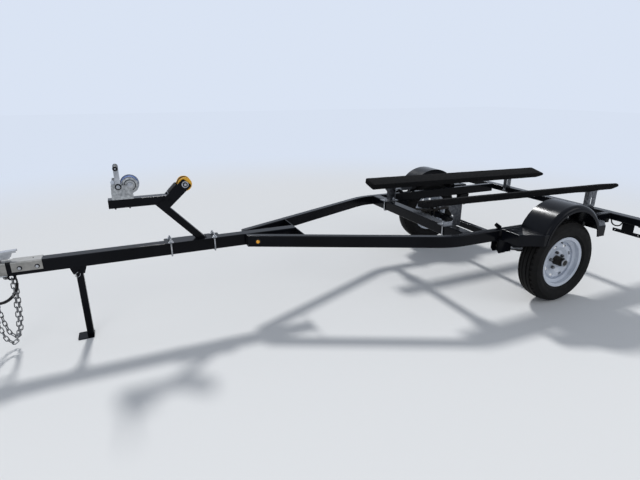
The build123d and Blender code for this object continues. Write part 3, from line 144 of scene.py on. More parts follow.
def new_group(name, inputs):
    """An empty shader group that gives a colour and a roughness, and its sockets inside."""
    group = bpy.data.node_groups.new(name, "ShaderNodeTree")
    for label, (kind, value) in inputs.items():
        socket = group.interface.new_socket(name=label, in_out="INPUT", socket_type=kind)
        socket.default_value = value
    for label, kind in FINISH.items():
        group.interface.new_socket(name=label, in_out="OUTPUT", socket_type=kind)
    way_in, way_out = group.nodes.new("NodeGroupInput"), group.nodes.new("NodeGroupOutput")
    return group, way_in.outputs, way_out.inputs


blotch, given, result = new_group(
    "blotch",
    {
        "Colour": (COLOUR, GREY),
        "Other": (COLOUR, GREY),
        "Scale": (FLOAT, 8.0),
        "Rough Low": (FLOAT, 0.3),
        "Rough High": (FLOAT, 0.45),
    },
)
cloud = noise_on(blotch, given["Scale"], 5)
patch = add_node(blotch, "MapRange", {"Value": cloud, "From Min": 0.35, "From Max": 0.65})
amount = patch.outputs["Result"]
feeds = {"Factor": amount, "A": given["Colour"], "B": given["Other"]}
blend = add_node(blotch, "Mix", feeds, data_type="RGBA")
feeds = {"Value": amount, "To Min": given["Rough Low"], "To Max": given["Rough High"]}
gloss = add_node(blotch, "MapRange", feeds)
blotch.links.new(blend.outputs["Result"], result["Colour"])
blotch.links.new(gloss.outputs["Result"], result["Roughness"])
print("blotch nodes", len(blotch.nodes))

# %% [markdown]
# The second effect is road dust. On a real trailer it settles on what faces up and hardly
# clings to what hangs down. A picture could be painted for each part, but the direction of
# the surface already says where dust lies: its upward share is multiplied by a grainy noise,
# and the product mixes a dusty colour over the clean one and dulls it.

# %% Road dust
dust, given, result = new_group(
    "road_dust",
    {
        "Colour": (COLOUR, GREY),
        "Roughness": (FLOAT, 0.4),
        "Dust": (COLOUR, (0.36, 0.30, 0.23, 1)),
        "Amount": (FLOAT, 0.2),
        "Scale": (FLOAT, 30.0),
    },
)
normal = add_node(dust, "NewGeometry").outputs["Normal"]
height = add_node(dust, "SeparateXYZ", {"Vector": normal}).outputs["Z"]
upward = add_node(dust, "MapRange", {"Value": height, "From Min": -0.4, "To Min": 0.25})
grains = noise_on(dust, given["Scale"], 8, 0.7)
patches = add_node(dust, "MapRange", {"Value": grains, "From Min": 0.38, "From Max": 0.72})
film = multiply(dust, upward.outputs["Result"], patches.outputs["Result"])
amount = multiply(dust, film, given["Amount"], clamp=True)
feeds = {"Factor": amount, "A": given["Colour"], "B": given["Dust"]}
cover = add_node(dust, "Mix", feeds, data_type="RGBA")
feeds = {"Value": amount, "To Min": given["Roughness"], "To Max": 0.9}
dull = add_node(dust, "MapRange", feeds)
dust.links.new(cover.outputs["Result"], result["Colour"])
dust.links.new(dull.outputs["Result"], result["Roughness"])
print("dust nodes", len(dust.nodes))

# %% [markdown]
# A finish is then one call: two colours to vary between, the size of the blotches, the span
# of roughness, how dusty it is, and the fine ripple of its surface, such as the orange peel
# of sprayed paint. The ripple only tilts the light. Modelled in the mesh, something so fine
# would cost millions of faces.

# %% Build a material from the shared effects
RIPPLE_HEIGHT = 0.001


def new_material(
    name,
    colour,
    other,
    scale,
    rough,
    metallic=0.0,
    dusty=0.1,
    dust_scale=30,
    ripple=(0, 0),
    shine=0.5,
):
    """Principled material: blotchy colour, road dust on top, and a ripple (strength, scale)."""
    made = bpy.data.materials.new(name)
    made.use_nodes = True
    tree = made.node_tree
    surface = tree.nodes["Principled BSDF"]
    surface.inputs["Metallic"].default_value = metallic
    surface.inputs["Specular IOR Level"].default_value = shine
    feeds = {"Colour": (*colour, 1), "Other": (*other, 1), "Scale": scale}
    feeds.update({"Rough Low": rough[0], "Rough High": rough[1]})
    base = add_node(tree, "Group", feeds, node_tree=blotch).outputs
    feeds = {"Colour": base["Colour"], "Roughness": base["Roughness"]}
    feeds.update({"Amount": dusty, "Scale": dust_scale})
    top = add_node(tree, "Group", feeds, node_tree=dust).outputs
    tree.links.new(top["Colour"], surface.inputs["Base Color"])
    tree.links.new(top["Roughness"], surface.inputs["Roughness"])
    if ripple[0]:
        wave = noise_on(tree, ripple[1], 3)
        feeds = {"Strength": ripple[0], "Distance": RIPPLE_HEIGHT, "Height": wave}
        bump = add_node(tree, "Bump", feeds)
        tree.links.new(bump.outputs["Normal"], surface.inputs["Normal"])
    return made


# %% [markdown]
# Black paint looks black because it is dark and reflects little, not because its colour is
# zero. The frame's sprayed gloss paint, the fenders' moulded plastic and the springs' dull
# dipped paint are three different blacks. The frame's and fenders' blacks are tinted faintly
# blue, which is a painted reflection of the sky, and the rims' white enamel is made bluish
# grey, which is painted shade under a blue sky. Low specular values keep the blacks deep
# where the pale surround is mirrored in them.

# %% Paints and plastic
# Painted reflection: the faint blue in this black stands for the sky mirrored in the paint.
frame_paint = new_material(
    "frame_paint",
    (0.0030, 0.0034, 0.0048),
    (0.0052, 0.0058, 0.0080),
    3,
    (0.12, 0.20),
    dusty=0.006,
    ripple=(0.06, 260),
    shine=0.07,
)
# Painted reflection: the faint blue in this black stands for the sky mirrored in the plastic.
fender_plastic = new_material(
    "fender_plastic",
    (0.0036, 0.0042, 0.0062),
    (0.0062, 0.0070, 0.0098),
    6,
    (0.14, 0.22),
    dusty=0.006,
    ripple=(0.06, 700),
    shine=0.10,
)
spring_paint = new_material(
    "spring_paint",
    (0.007, 0.007, 0.008),
    (0.018, 0.016, 0.014),
    25,
    (0.35, 0.55),
    dusty=0.08,
    ripple=(0.2, 250),
    shine=0.2,
)
# Painted shade: the white enamel is made bluish grey, as it looks in shade under a blue sky.
shaded_white_enamel = new_material(
    "shaded_white_enamel",
    (0.58, 0.62, 0.69),
    (0.46, 0.50, 0.57),
    9,
    (0.22, 0.34),
    dusty=0.08,
    dust_scale=45,
)
print("paints", len(bpy.data.materials))

# %% [markdown]
# Zinc comes in several coats. Plated bolts are bright and nearly mirror-like, and the winch is
# plated but mottled. The coupler's zinc is dull and made darker and warm: painted shade, with
# a painted reflection of brown ground in it. The dipped brackets are dark grey with coarse
# patches and darkened further as painted shade, and the chains' zinc is darkened as painted
# shade too. All are metal, so their colour lives in what they reflect, and the blotches change
# both that colour and the gloss.

# %% Zinc coats
bright_zinc = new_material(
    "bright_zinc",
    (0.46, 0.47, 0.49),
    (0.27, 0.28, 0.295),
    24,
    (0.24, 0.42),
    metallic=1.0,
    dusty=0.05,
    ripple=(0.15, 300),
)
# Painted shade: the brackets' zinc is darkened to stand for the shadow that they lie in.
shaded_galvanised = new_material(
    "shaded_galvanised",
    (0.15, 0.156, 0.168),
    (0.06, 0.064, 0.072),
    55,
    (0.30, 0.46),
    metallic=0.9,
    dusty=0.04,
    ripple=(0.2, 200),
)
winch_zinc = new_material(
    "winch_zinc",
    (0.44, 0.45, 0.45),
    (0.23, 0.235, 0.24),
    70,
    (0.28, 0.46),
    metallic=0.9,
    dusty=0.06,
    ripple=(0.2, 300),
)
# Painted shade: the coupler's zinc is darkened and warmed, a painted reflection of brown ground.
shaded_coupler_zinc = new_material(
    "shaded_coupler_zinc",
    (0.33, 0.32, 0.30),
    (0.22, 0.215, 0.20),
    20,
    (0.28, 0.42),
    metallic=0.6,
    dusty=0.04,
    ripple=(0.15, 250),
)
# Painted shade: this zinc is darkened for the shade under the tongue where the chains hang, and
# for the shaded ground that the wheel nuts mirror.
shaded_chain_zinc = new_material(
    "shaded_chain_zinc",
    (0.24, 0.245, 0.25),
    (0.07, 0.07, 0.075),
    60,
    (0.28, 0.45),
    metallic=1.0,
    dusty=0.05,
    ripple=(0.2, 400),
)
print("with zinc coats", len(bpy.data.materials))

# %% [markdown]
# Soft things scatter light instead of mirroring it. Tyre rubber and cable jackets are matt
# with a slight sheen, carpet is almost without gloss and has a deep fine ripple for its
# pile, and the strap's webbing is a ribbed blue weave. A weave could be modelled thread by
# thread, but at the distance of a whole trailer its ripple alone is seen.

# %% Rubber, carpet and webbing
tyre_rubber = new_material(
    "tyre_rubber",
    (0.0038, 0.0038, 0.0042),
    (0.0070, 0.0068, 0.0066),
    14,
    (0.55, 0.75),
    dusty=0.03,
    ripple=(0.3, 500),
    shine=0.12,
)
cable_black = new_material(
    "cable_black",
    (0.007, 0.007, 0.0075),
    (0.012, 0.012, 0.012),
    30,
    (0.35, 0.5),
    dusty=0.03,
    ripple=(0.1, 500),
    shine=0.2,
)
carpet_black = new_material(
    "carpet_black",
    (0.005, 0.0052, 0.006),
    (0.011, 0.0112, 0.012),
    90,
    (0.92, 1.0),
    dusty=0.02,
    ripple=(1.0, 900),
    shine=0.05,
)
webbing = new_material(
    "webbing",
    (0.030, 0.085, 0.27),
    (0.05, 0.12, 0.34),
    120,
    (0.6, 0.8),
    dusty=0.05,
    ripple=(0.8, 900),
)
print("with soft finishes", len(bpy.data.materials))

# %% [markdown]
# The bow roller is amber-yellow polyurethane, and its throat is made darker as painted shade,
# for the shadow that lies in it. The lenses are smooth coloured plastic. They could be glass
# over a bulb, but behind a ribbed lens nothing can be made out by day, so a glossy coloured
# surface looks the same.

# %% Roller and lenses
roller_yellow = new_material(
    "roller_yellow",
    (0.86, 0.46, 0.02),
    (0.76, 0.38, 0.015),
    20,
    (0.3, 0.42),
    dusty=0.08,
    ripple=(0.1, 300),
)
roller_painted_shade = new_material(
    "roller_painted_shade",
    (0.16, 0.075, 0.008),
    (0.06, 0.03, 0.006),
    40,
    (0.6, 0.8),
    dusty=0.05,
    ripple=(0.2, 300),
)
red_lens = new_material(
    "red_lens", (0.42, 0.012, 0.012), (0.36, 0.010, 0.010), 10, (0.10, 0.16), dusty=0.04
)
amber_lens = new_material(
    "amber_lens", (0.92, 0.40, 0.020), (0.84, 0.30, 0.012), 10, (0.10, 0.16), dusty=0.02
)
print("materials", len(bpy.data.materials))

# %% [markdown]
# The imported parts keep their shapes, and each is only given a finish. That could be done
# part by part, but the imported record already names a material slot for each, so one table
# of slot against finish does for nearly all. A few share the zinc slot and still look
# different on a real trailer, so a second short table comes after it.

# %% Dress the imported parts
SLOT_FINISH = {
    "frame_paint": frame_paint,
    "zinc": bright_zinc,
    "chain_steel": shaded_chain_zinc,
    "wheel_paint": shaded_white_enamel,
    "tyre": tyre_rubber,
    "spring_paint": spring_paint,
    "black_plastic": fender_plastic,
    "roller_rubber": roller_yellow,
    "strap_fabric": webbing,
    "bunk_carpet": carpet_black,
    "lamp_lens": red_lens,
    "amber_lens": amber_lens,
    "cable_jacket": cable_black,
}
for entry in frame["record"]["subparts"]:
    packed = frame["nodes"][entry["node"]]
    packed.data.materials.clear()
    packed.data.materials.append(SLOT_FINISH[entry["material_slot"]])

OTHER_FINISH = {"winch_frame": winch_zinc, "winch_drum": winch_zinc, "coupler": shaded_coupler_zinc}
OTHER_FINISH.update({node: shaded_galvanised for node in frame["nodes"] if "bunk_bracket" in node})
for node, finish in OTHER_FINISH.items():
    frame["nodes"][node].data.materials[0] = finish
print("dressed", len(frame["nodes"]), "of them by hand", len(OTHER_FINISH))

# %% [markdown]
# The light cable hangs out of the tongue, swings forward in one loose loop and is thrown
# over the coupler's neck, where its plug hangs clear of the ground. A cable could be swept
# along straight runs and arcs, but it would look like bent wire. A smooth spline through a
# few control points bends everywhere a little, as a real cable does, and a round bevel
# gives it its thickness.

# %% Light cable
def add_wire(name, places, radius, material, round_steps=3, run_steps=12, capped=True):
    """A smooth curve with round section that rides on the chassis."""
    data = bpy.data.curves.new(name, "CURVE")
    data.dimensions = "3D"
    data.bevel_depth = radius
    data.bevel_resolution = round_steps
    data.resolution_u = run_steps
    data.use_fill_caps = capped
    run = data.splines.new("NURBS")
    run.points.add(len(places) - 1)
    for point, place in zip(run.points, places):
        point.co = (*place, 1)
    run.order_u = 3
    run.use_endpoint_u = True
    data.materials.append(material)
    made = bpy.data.objects.new(name, data)
    bpy.context.collection.objects.link(made)
    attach(made, CHASSIS)
    print(name, len(places), "points on", CHASSIS)
    return made


CABLE_R = 0.0035
CABLE_ROUTE = [
    (-3.367, 0, UNDER_Z - 0.005),
    (-3.367, 0, 0.415),
    (-3.375, -0.003, 0.368),
    (-3.397, -0.011, 0.335),
    (-3.432, -0.034, 0.313),
    (-3.472, -0.060, 0.321),
    (-3.510, -0.070, 0.355),
    (-3.521, -0.074, 0.398),
    (-3.506, -0.074, 0.449),
    (-3.471, -0.070, 0.497),
    (-3.443, -0.058, 0.533),
    (-3.428, -0.024, 0.5495),
    (-3.425, 0.024, 0.5495),
    (-3.428, 0.056, 0.532),
    (-3.432, 0.064, 0.494),
    (-3.432, 0.064, 0.450),
]
cable_line = [at_axle(*place) for place in CABLE_ROUTE]
cable = add_wire(
    "light_cable_jacket", cable_line, CABLE_R, cable_black, 4, 8, capped=False
)
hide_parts("light_cable")

# %% [markdown]
# Every other new piece is a mesh and ends in the same way: its doubled points are merged,
# its faces turned outwards, its curved parts shaded smooth between real edges, and it is
# told which moving body carries it. Written once, that is alike for all of them. Cloth gets
# a wider angle than metal, because a fold in carpet is never crisp.

# %% Finish a piece
CRISP_ANGLE, CLOTH_ANGLE = 38, 60
SAME_POINT = 1e-6


def finish_piece(name, bm, body, material, stands_for=(), angle=CRISP_ANGLE):
    """Turn a bmesh into one named object on a body; edges over the angle stay crisp."""
    bmesh.ops.remove_doubles(bm, verts=bm.verts, dist=SAME_POINT)
    bmesh.ops.recalc_face_normals(bm, faces=bm.faces)
    mesh = bpy.data.meshes.new(name)
    bm.to_mesh(mesh)
    bm.free()
    mesh.shade_smooth()
    mesh.set_sharp_from_angle(angle=radians(angle))
    mesh.materials.append(material)
    made = bpy.data.objects.new(name, mesh)
    bpy.context.collection.objects.link(made)
    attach(made, body)
    if stands_for:
        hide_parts(*stands_for)
    print(name, len(mesh.polygons), "faces on", body)
    return made


# %% [markdown]
# Blender's operators are simplest around the origin, with the Z axis as the middle line. A
# shape could be made in its place with longer sums. Here each is a small bmesh of its own,
# which is moved once, when it is done, and then joined to its piece.

# %% Put a shape in its place
def facing(place, direction):
    """The transform that takes a shape on the Z axis to a place, pointing along direction."""
    turn = Vector(UP).rotation_difference(Vector(direction)).to_matrix().to_4x4()
    return Matrix.Translation(Vector(place)) @ turn


def join(bm, part, matrix):
    """Move a finished shape to its place and add it to the piece."""
    bmesh.ops.transform(part, matrix=matrix, verts=part.verts)
    carried = bpy.data.meshes.new("carried")
    part.to_mesh(carried)
    part.free()
    bm.from_mesh(carried)
    bpy.data.meshes.remove(carried)


def of_kind(items, kind):
    """The points or the edges among what an operator gave back."""
    return [item for item in items if isinstance(item, kind)]


# %% [markdown]
# Nothing on a trailer has a knife edge. Sheared plate, moulded rubber and rolled tube all
# turn their corners over a millimetre or so, and that thin rim is what catches the light. A
# bevel modifier could do it later for a whole object, but then every edge gets the same
# width. Bevelling in the bmesh lets each shape choose its own edges and radius.

# %% Blocks and bars with rounded edges
def round_edges(bm, edges, radius, steps, clamp=False):
    """Round the given edges."""
    bmesh.ops.bevel(
        bm,
        geom=edges,
        offset=radius,
        segments=steps,
        profile=0.5,
        affect="EDGES",
        clamp_overlap=clamp,
        material=-1,
    )


def add_block(bm, size, rounding, matrix):
    """A block of a size, centred on the matrix's place."""
    part = bmesh.new()
    bmesh.ops.create_cube(part, size=1)
    bmesh.ops.scale(part, vec=size, verts=part.verts)
    if rounding:
        round_edges(part, part.edges[:], rounding, 3)
    join(bm, part, matrix)


def add_bar(bm, start, end, width, thick, rounding):
    """A block laid along the line from one point to another."""
    run = end - start
    turn = Vector((1, 0, 0)).rotation_difference(run).to_matrix().to_4x4()
    middle = Matrix.Translation((start + end) / 2)
    add_block(bm, (run.length, width, thick), rounding, middle @ turn)


def add_prism(bm, sides, radius, low, high, place, direction, rounding):
    """A bar of so many sides from one height to another, with rounded ends."""
    part = bmesh.new()
    bmesh.ops.create_cone(
        part,
        cap_ends=True,
        segments=sides,
        radius1=radius,
        radius2=radius,
        depth=high - low,
        matrix=Matrix.Translation((0, 0, (high + low) / 2)),
    )
    rims = [e for e in part.edges if abs(e.verts[0].co.z - e.verts[1].co.z) < SAME_POINT / 10]
    round_edges(part, rims, rounding, 2, clamp=True)
    join(bm, part, facing(place, direction))


# %% [markdown]
# Much on a trailer is turned or moulded round: hubs, rollers, rings, domed nuts. A cylinder
# could be scaled loop by loop into such a shape, but its section is easier to read as an
# outline of radius and height, which one full spin carries round the axis.

# %% Turned shapes
def add_turned(bm, outline, place, direction, steps):
    """Spin an outline of (radius, height) points once round a direction."""
    part = bmesh.new()
    ring = [part.verts.new((radius, 0, height)) for radius, height in outline]
    edges = [part.edges.new(pair) for pair in zip(ring, ring[1:])]
    bmesh.ops.spin(
        part,
        geom=ring + edges,
        cent=(0, 0, 0),
        axis=UP,
        angle=2 * pi,
        steps=steps,
        use_merge=True,
    )
    bmesh.ops.remove_doubles(part, verts=part.verts, dist=SAME_POINT / 10)
    join(bm, part, facing(place, direction))


# %% [markdown]
# The plug is a flat moulded body: a tapered neck, a ribbed grip and, at its lower end, a row
# of contacts, one bare and three sunk in rubber sleeves. One mould makes it, so it is one
# piece here too. The ribs are thin blocks that stand a little proud of the body, which is
# quicker than cutting grooves and looks the same.

# %% Cable plug
GRIP_SIZE, GRIP_RIB = (0.024, 0.009, 0.020), (0.0255, 0.0098, 0.0016)
RIB_TOP, RIB_STEP = 0.0065, 0.004
NECK = [(0, 0), (0.0038, 0), (0.0042, -0.004), (0.0048, -0.009), (0.0048, -0.011), (0, -0.011)]
CONTACT_STEP, CONTACT_LONG = 0.006, 0.010

plug_low, plug_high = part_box("cable_plug")
plug_mid = (plug_low + plug_high) / 2
bm = bmesh.new()
add_block(bm, GRIP_SIZE, 0.0022, Matrix.Translation(plug_mid + Vector((0, 0, 0.001))))
for rib in range(3):
    rib_place = plug_mid + Vector((0, 0, RIB_TOP - RIB_STEP * rib))
    add_block(bm, GRIP_RIB, 0.0004, Matrix.Translation(rib_place))
add_turned(bm, NECK, (plug_mid.x, plug_mid.y, plug_high.z), UP, 16)
for number in range(4):
    foot = plug_mid + Vector((-0.009 + CONTACT_STEP * number, 0, -0.008))
    sides, radius = (16, 0.0026) if number else (12, 0.0011)
    add_prism(bm, sides, radius, -CONTACT_LONG, 0, foot, UP, 0.0004)
plug = finish_piece("cable_plug_body", bm, CHASSIS, cable_black, ["cable_plug"])

# %% [markdown]
# Round the lower loop the cable wears a sleeve, so it looks thicker there. The sleeve could
# have points of its own, but then it might not sit on the cable everywhere. So the cable's
# spline is asked for the points that it really runs through, and the sleeve follows every
# fourth of them.

# %% Cable sleeve
SLEEVE_R, SLEEVE_POINTS = 0.0084, slice(6, 70, 4)
guide_data = cable.data.copy()
guide_data.bevel_depth = 0
guide = bpy.data.objects.new("cable_line", guide_data)
line_mesh = bpy.data.meshes.new_from_object(guide)
along = [vert.co.copy() for vert in line_mesh.vertices]
bpy.data.objects.remove(guide)
bpy.data.curves.remove(guide_data)
bpy.data.meshes.remove(line_mesh)
print("cable line points", len(along))
loom = add_wire("cable_loom", along[SLEEVE_POINTS], SLEEVE_R, cable_black)

# %% [markdown]
# A welded chain link is a loop of round wire. It could be a torus that is pulled long, but
# then its sides would be thinner than its ends. Here it is bent like the real one: a small
# circle of wire is swept round one end, drawn straight along the side, swept round the other
# end, and the last gap is bridged.

# %% One chain link
WIRE_R = 0.003
LINK_LONG, LINK_WIDE, LINK_SLACK = 0.031, 0.0127, 0.0017
BEND_R = LINK_WIDE / 2 + WIRE_R


def bend_end(bm, geom, x):
    """Sweep the wire half round one end of the link; give the edges that it stops at."""
    swept = bmesh.ops.spin(
        bm, geom=geom, cent=(x, 0, 0), axis=ACROSS, angle=pi, steps=7, use_merge=False
    )
    return of_kind(swept["geom_last"], bmesh.types.BMEdge)


def chain_link():
    """One link lying in the XZ plane, its long side along X."""
    bm = bmesh.new()
    half = LINK_LONG / 2 - LINK_WIDE / 2
    ring = bmesh.ops.create_circle(bm, cap_ends=False, segments=8, radius=WIRE_R)["verts"]
    bmesh.ops.rotate(bm, cent=(0, 0, 0), matrix=Matrix.Rotation(pi / 2, 3, "Y"), verts=ring)
    bmesh.ops.translate(bm, vec=(half, 0, BEND_R), verts=ring)
    loop = bend_end(bm, ring + bm.edges[:], half)
    drawn = bmesh.ops.extrude_edge_only(bm, edges=loop)["geom"]
    moved = of_kind(drawn, bmesh.types.BMVert)
    bmesh.ops.translate(bm, vec=(-2 * half, 0, 0), verts=moved)
    last = bend_end(bm, moved + of_kind(drawn, bmesh.types.BMEdge), -half)
    at_start = {edge for vert in ring for edge in vert.link_edges}
    first = [edge for edge in at_start if all(vert in ring for vert in edge.verts)]
    bmesh.ops.bridge_loops(bm, edges=first + last)
    mesh = bpy.data.meshes.new("chain_link")
    bm.to_mesh(mesh)
    bm.free()
    return mesh


link_mesh = chain_link()
print("link", len(link_mesh.polygons), "faces")

# %% [markdown]
# A safety chain hangs in a loop from a staple under the tongue to its hook at the coupler.
# A hanging chain takes a fixed curve, whose slope grows evenly with the length of chain from
# its lowest point. So each link's heading is worked out from its number, and the next link
# starts where the last one ends. Every second link is turned a quarter, as in real chain.

# %% Safety chains
LINKS = 27
CHAIN_SWEEP, CHAIN_LOW = 0.01666, 13.4
STAPLE_X, STAPLE_Y, STAPLE_R, STAPLE_DROP = -3.380, 0.032, 0.005, 0.019
HOOK_X, HOOK_Y, HOOK_BEND = -3.514, 0.045, 0.0095


def chain_places(side, out):
    """Centre, heading and whether it stands upright, for every link of one chain."""
    level_reach = LINK_LONG / 2 - LINK_WIDE / 2
    upright_reach = LINK_LONG / 2 + LINK_WIDE / 2 - LINK_SLACK
    top = UNDER_Z - STAPLE_DROP + STAPLE_R + 0.0005
    place = at_axle(STAPLE_X, side * STAPLE_Y, top - LINK_LONG / 2)
    heading, reach = None, 0
    for number in range(LINKS):
        climb = atan((number - CHAIN_LOW) * (LINK_LONG - LINK_SLACK) / CHAIN_SWEEP)
        next_heading = out * cos(climb) + Vector((0, 0, sin(climb)))
        upright = number % 2 == 0
        next_reach = upright_reach if upright else level_reach
        if heading:
            place = place + heading * reach + next_heading * next_reach
        heading, reach = next_heading, next_reach
        yield place, heading, upright


for side_name, side in SIDES.items():
    bm = bmesh.new()
    out = Vector((HOOK_X + HOOK_BEND - STAPLE_X, side * (HOOK_Y - STAPLE_Y), 0)).normalized()
    across = Vector((out.y, -out.x, 0))
    for place, heading, upright in chain_places(side, out):
        link = bmesh.new()
        link.from_mesh(link_mesh)
        third = heading.cross(across)
        wide, deep = (across, third) if upright else (third, across)
        axes = Matrix((heading, deep, wide)).transposed().to_4x4()
        join(bm, link, Matrix.Translation(place) @ axes)
    stood_for = [f"{side_name}_safety_chain"]
    finish_piece(f"{side_name}_chain_links", bm, CHASSIS, shaded_chain_zinc, stood_for)
bpy.data.meshes.remove(link_mesh)

# %% [markdown]
# A trailer tyre has straight ribs for low rolling drag, cut only by short notches at the
# shoulders. A tread could be a flat strip that is bent round by a modifier. It is surer to
# draw the whole section from bead to bead and spin it round the axle, and then to inset
# every second face at the shoulders and push it in for a notch.

# %% Tyres
TYRE_STEPS = 90
WHEEL_Y = 0.755
SHOULDER_R, SHOULDER_IN, SHOULDER_OUT = 0.285, 0.045, 0.0575
HALF_SECTION = [
    (0.1656, 0.0515),
    (0.1836, 0.0560),
    (0.1900, 0.0635),
    (0.2000, 0.0700),
    (0.2020, 0.0722),
    (0.2045, 0.0716),
    (0.2220, 0.0790),
    (0.2420, 0.0820),
    (0.2580, 0.0796),
    (0.2605, 0.0800),
    (0.2625, 0.0782),
    (0.2760, 0.0690),
    (0.2860, 0.0605),
    (0.2885, 0.0580),
    (0.2915, 0.0440),
    (0.2850, 0.0430),
    (0.2850, 0.0390),
    (0.2925, 0.0380),
    (0.2955, 0.0200),
    (0.2885, 0.0190),
    (0.2885, 0.0130),
    (0.2960, 0.0120),
    (0.2968, 0.0),
]


def is_notch(face, centre):
    """Whether a face lies on a shoulder and is one of every second there."""
    away = face.calc_center_median() - centre
    flat = Vector((away.x, away.z))
    on_shoulder = flat.length > SHOULDER_R and SHOULDER_IN < abs(away.y) < SHOULDER_OUT
    turn = (flat.angle_signed(Vector((1, 0))) % (2 * pi)) / (2 * pi)
    return on_shoulder and int(turn * TYRE_STEPS) % 2 == 1


section = HALF_SECTION + [(radius, -half) for radius, half in reversed(HALF_SECTION[:-1])]
print("tyre section points", len(section))
for side_name, side in SIDES.items():
    centre = at_axle(0, side * WHEEL_Y, HUB_Z)
    bm = bmesh.new()
    add_turned(bm, section + section[:1], centre, ACROSS, TYRE_STEPS)
    notches = [face for face in bm.faces if is_notch(face, centre)]
    bmesh.ops.inset_individual(bm, faces=notches, thickness=0.003, depth=-0.006)
    tyre, body = f"{side_name}_tyre", f"{side_name}_wheel_body"
    finish_piece(f"{tyre}_tread", bm, body, tyre_rubber, [tyre])

# %% [markdown]
# Five domed nuts hold each wheel, spaced evenly on a circle, so a loop over five angles
# places them. Each is a six-sided bar with a small turned dome on top, which is how such a
# nut is really made. A piece rides on its wheel's body, so that it turns with the wheel.

# %% Wheel nuts
STUD_CIRCLE, STUD_ANGLE, NUT_SEAT = 0.05715, 25, 0.0043
NUT_ACROSS, NUT_TALL = 0.0116, 0.0155
NUT_DOME = [(0.0085, 0.0150), (0.0080, 0.0185), (0.0058, 0.0215), (0, 0.0230)]


def on_wheel(side, radius, angle, y):
    """A point on a circle round a wheel's axle."""
    return at_axle(radius * cos(radians(angle)), side * y, HUB_Z + radius * sin(radians(angle)))


for side_name, side in SIDES.items():
    bm = bmesh.new()
    for number in range(5):
        place = on_wheel(side, STUD_CIRCLE, STUD_ANGLE + 72 * number, WHEEL_Y + NUT_SEAT)
        add_prism(bm, 6, NUT_ACROSS, 0, NUT_TALL, place, (0, side, 0), 0.001)
        add_turned(bm, NUT_DOME, place, (0, side, 0), 20)
    # The nuts take the darkened chain zinc, which is painted shade on them.
    finish_piece(f"{side_name}_wheel_nuts", bm, f"{side_name}_wheel_body", shaded_chain_zinc)

# %% [markdown]
# A bright ring is pressed on the nose of the black hub, and a rubber valve with a cap comes
# out through the rim, leaning in towards the axle. Both are turned shapes. The valve's lean
# is only the direction that its outline is spun round, so nothing has to be rotated after.

# %% Hub rings and valves
HUB_NOSE_Y = 0.8270
HUB_RING = [
    (0.0200, 0.0),
    (0.0262, 0.0),
    (0.0262, 0.0055),
    (0.0248, 0.0075),
    (0.0225, 0.0080),
    (0.0205, 0.0072),
    (0.0200, 0.0),
]
VALVE_R, VALVE_ANGLE, VALVE_SEAT, VALVE_LEAN = 0.152, 100, 0.026, 0.25
VALVE_STEM = [
    (0, 0),
    (0.0060, 0),
    (0.0052, 0.010),
    (0.0040, 0.014),
    (0.0040, 0.020),
    (0.0046, 0.0205),
    (0.0046, 0.029),
    (0, 0.0295),
]
turn = radians(VALVE_ANGLE)
for side_name, side in SIDES.items():
    body = f"{side_name}_wheel_body"
    bm = bmesh.new()
    add_turned(bm, HUB_RING, at_axle(0, side * HUB_NOSE_Y, HUB_Z), (0, side, 0), 40)
    finish_piece(f"{side_name}_hub_ring", bm, body, bright_zinc)
    bm = bmesh.new()
    foot = on_wheel(side, VALVE_R, VALVE_ANGLE, WHEEL_Y + VALVE_SEAT)
    lean = (-VALVE_LEAN * cos(turn), side, -VALVE_LEAN * sin(turn))
    add_turned(bm, VALVE_STEM, foot, lean, 16)
    finish_piece(f"{side_name}_tyre_valve", bm, body, cable_black)

# %% [markdown]
# A bunk is a plank wrapped in marine carpet. It is built lying flat around the origin, where
# its sizes are plain, and a single transform then tips it towards the keel, lets it fall
# slightly to the stern and sets it on its brackets. Turning a finished board in place would
# need the same sums for each of its points.

# %% Where a bunk lies
BUNK_Y, BUNK_TILT, BUNK_PITCH = 0.373, 13, 1.0
BUNK_FRONT, BUNK_REAR = -0.893, 1.025
BUNK_FRONT_Z, BUNK_W, BUNK_T = 0.704, 0.148, 0.046
BUNK_RUN = BUNK_REAR - BUNK_FRONT
BUNK_LONG = BUNK_RUN / cos(radians(BUNK_PITCH))


def bunk_frame(side):
    """The transform from a board lying flat, centred on the origin, to its place."""
    middle_z = BUNK_FRONT_Z - BUNK_RUN / 2 * tan(radians(BUNK_PITCH))
    middle = at_axle((BUNK_FRONT + BUNK_REAR) / 2, side * BUNK_Y, middle_z)
    tip = Matrix.Rotation(radians(side * BUNK_TILT), 4, "X")
    fall = Matrix.Rotation(radians(BUNK_PITCH), 4, "Y")
    return Matrix.Translation(middle) @ fall @ tip


print("bunk", round(BUNK_LONG, 3), "long,", BUNK_W, "wide,", BUNK_T, "thick")

# %% [markdown]
# Carpet on a board is stretched, so cloth simulation has nothing to do there. What shows it
# as cloth is its round edges and a surface that wavers by half a millimetre. The board is
# cut across into many short lengths, and two slow sine waves push its points in and out. At
# the stern the wood is cut away below and rounded above. The board starts a millimetre
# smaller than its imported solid, so that the waves stay within it.

# %% Bunks
BUNK_CUTS, BUNK_EDGE = 64, 0.009
END_SLACK, SIDE_SLACK = 0.004, 0.001
UNDERCUT, UNDERCUT_DEEP = 0.080, 0.017
STERN_ROUND, STERN_DROP = 0.035, 0.012


def waver(x, y, z, side):
    """How far the carpet stands out of its even face at a point of the board."""
    return 0.0005 * sin(31 * x + 5 * y) + 0.0004 * sin(83 * x + 40 * z + side)


def cut_across(bm, place, normal):
    """Cut every face that a plane crosses."""
    geom = bm.verts[:] + bm.edges[:] + bm.faces[:]
    bmesh.ops.bisect_plane(bm, geom=geom, plane_co=place, plane_no=normal)


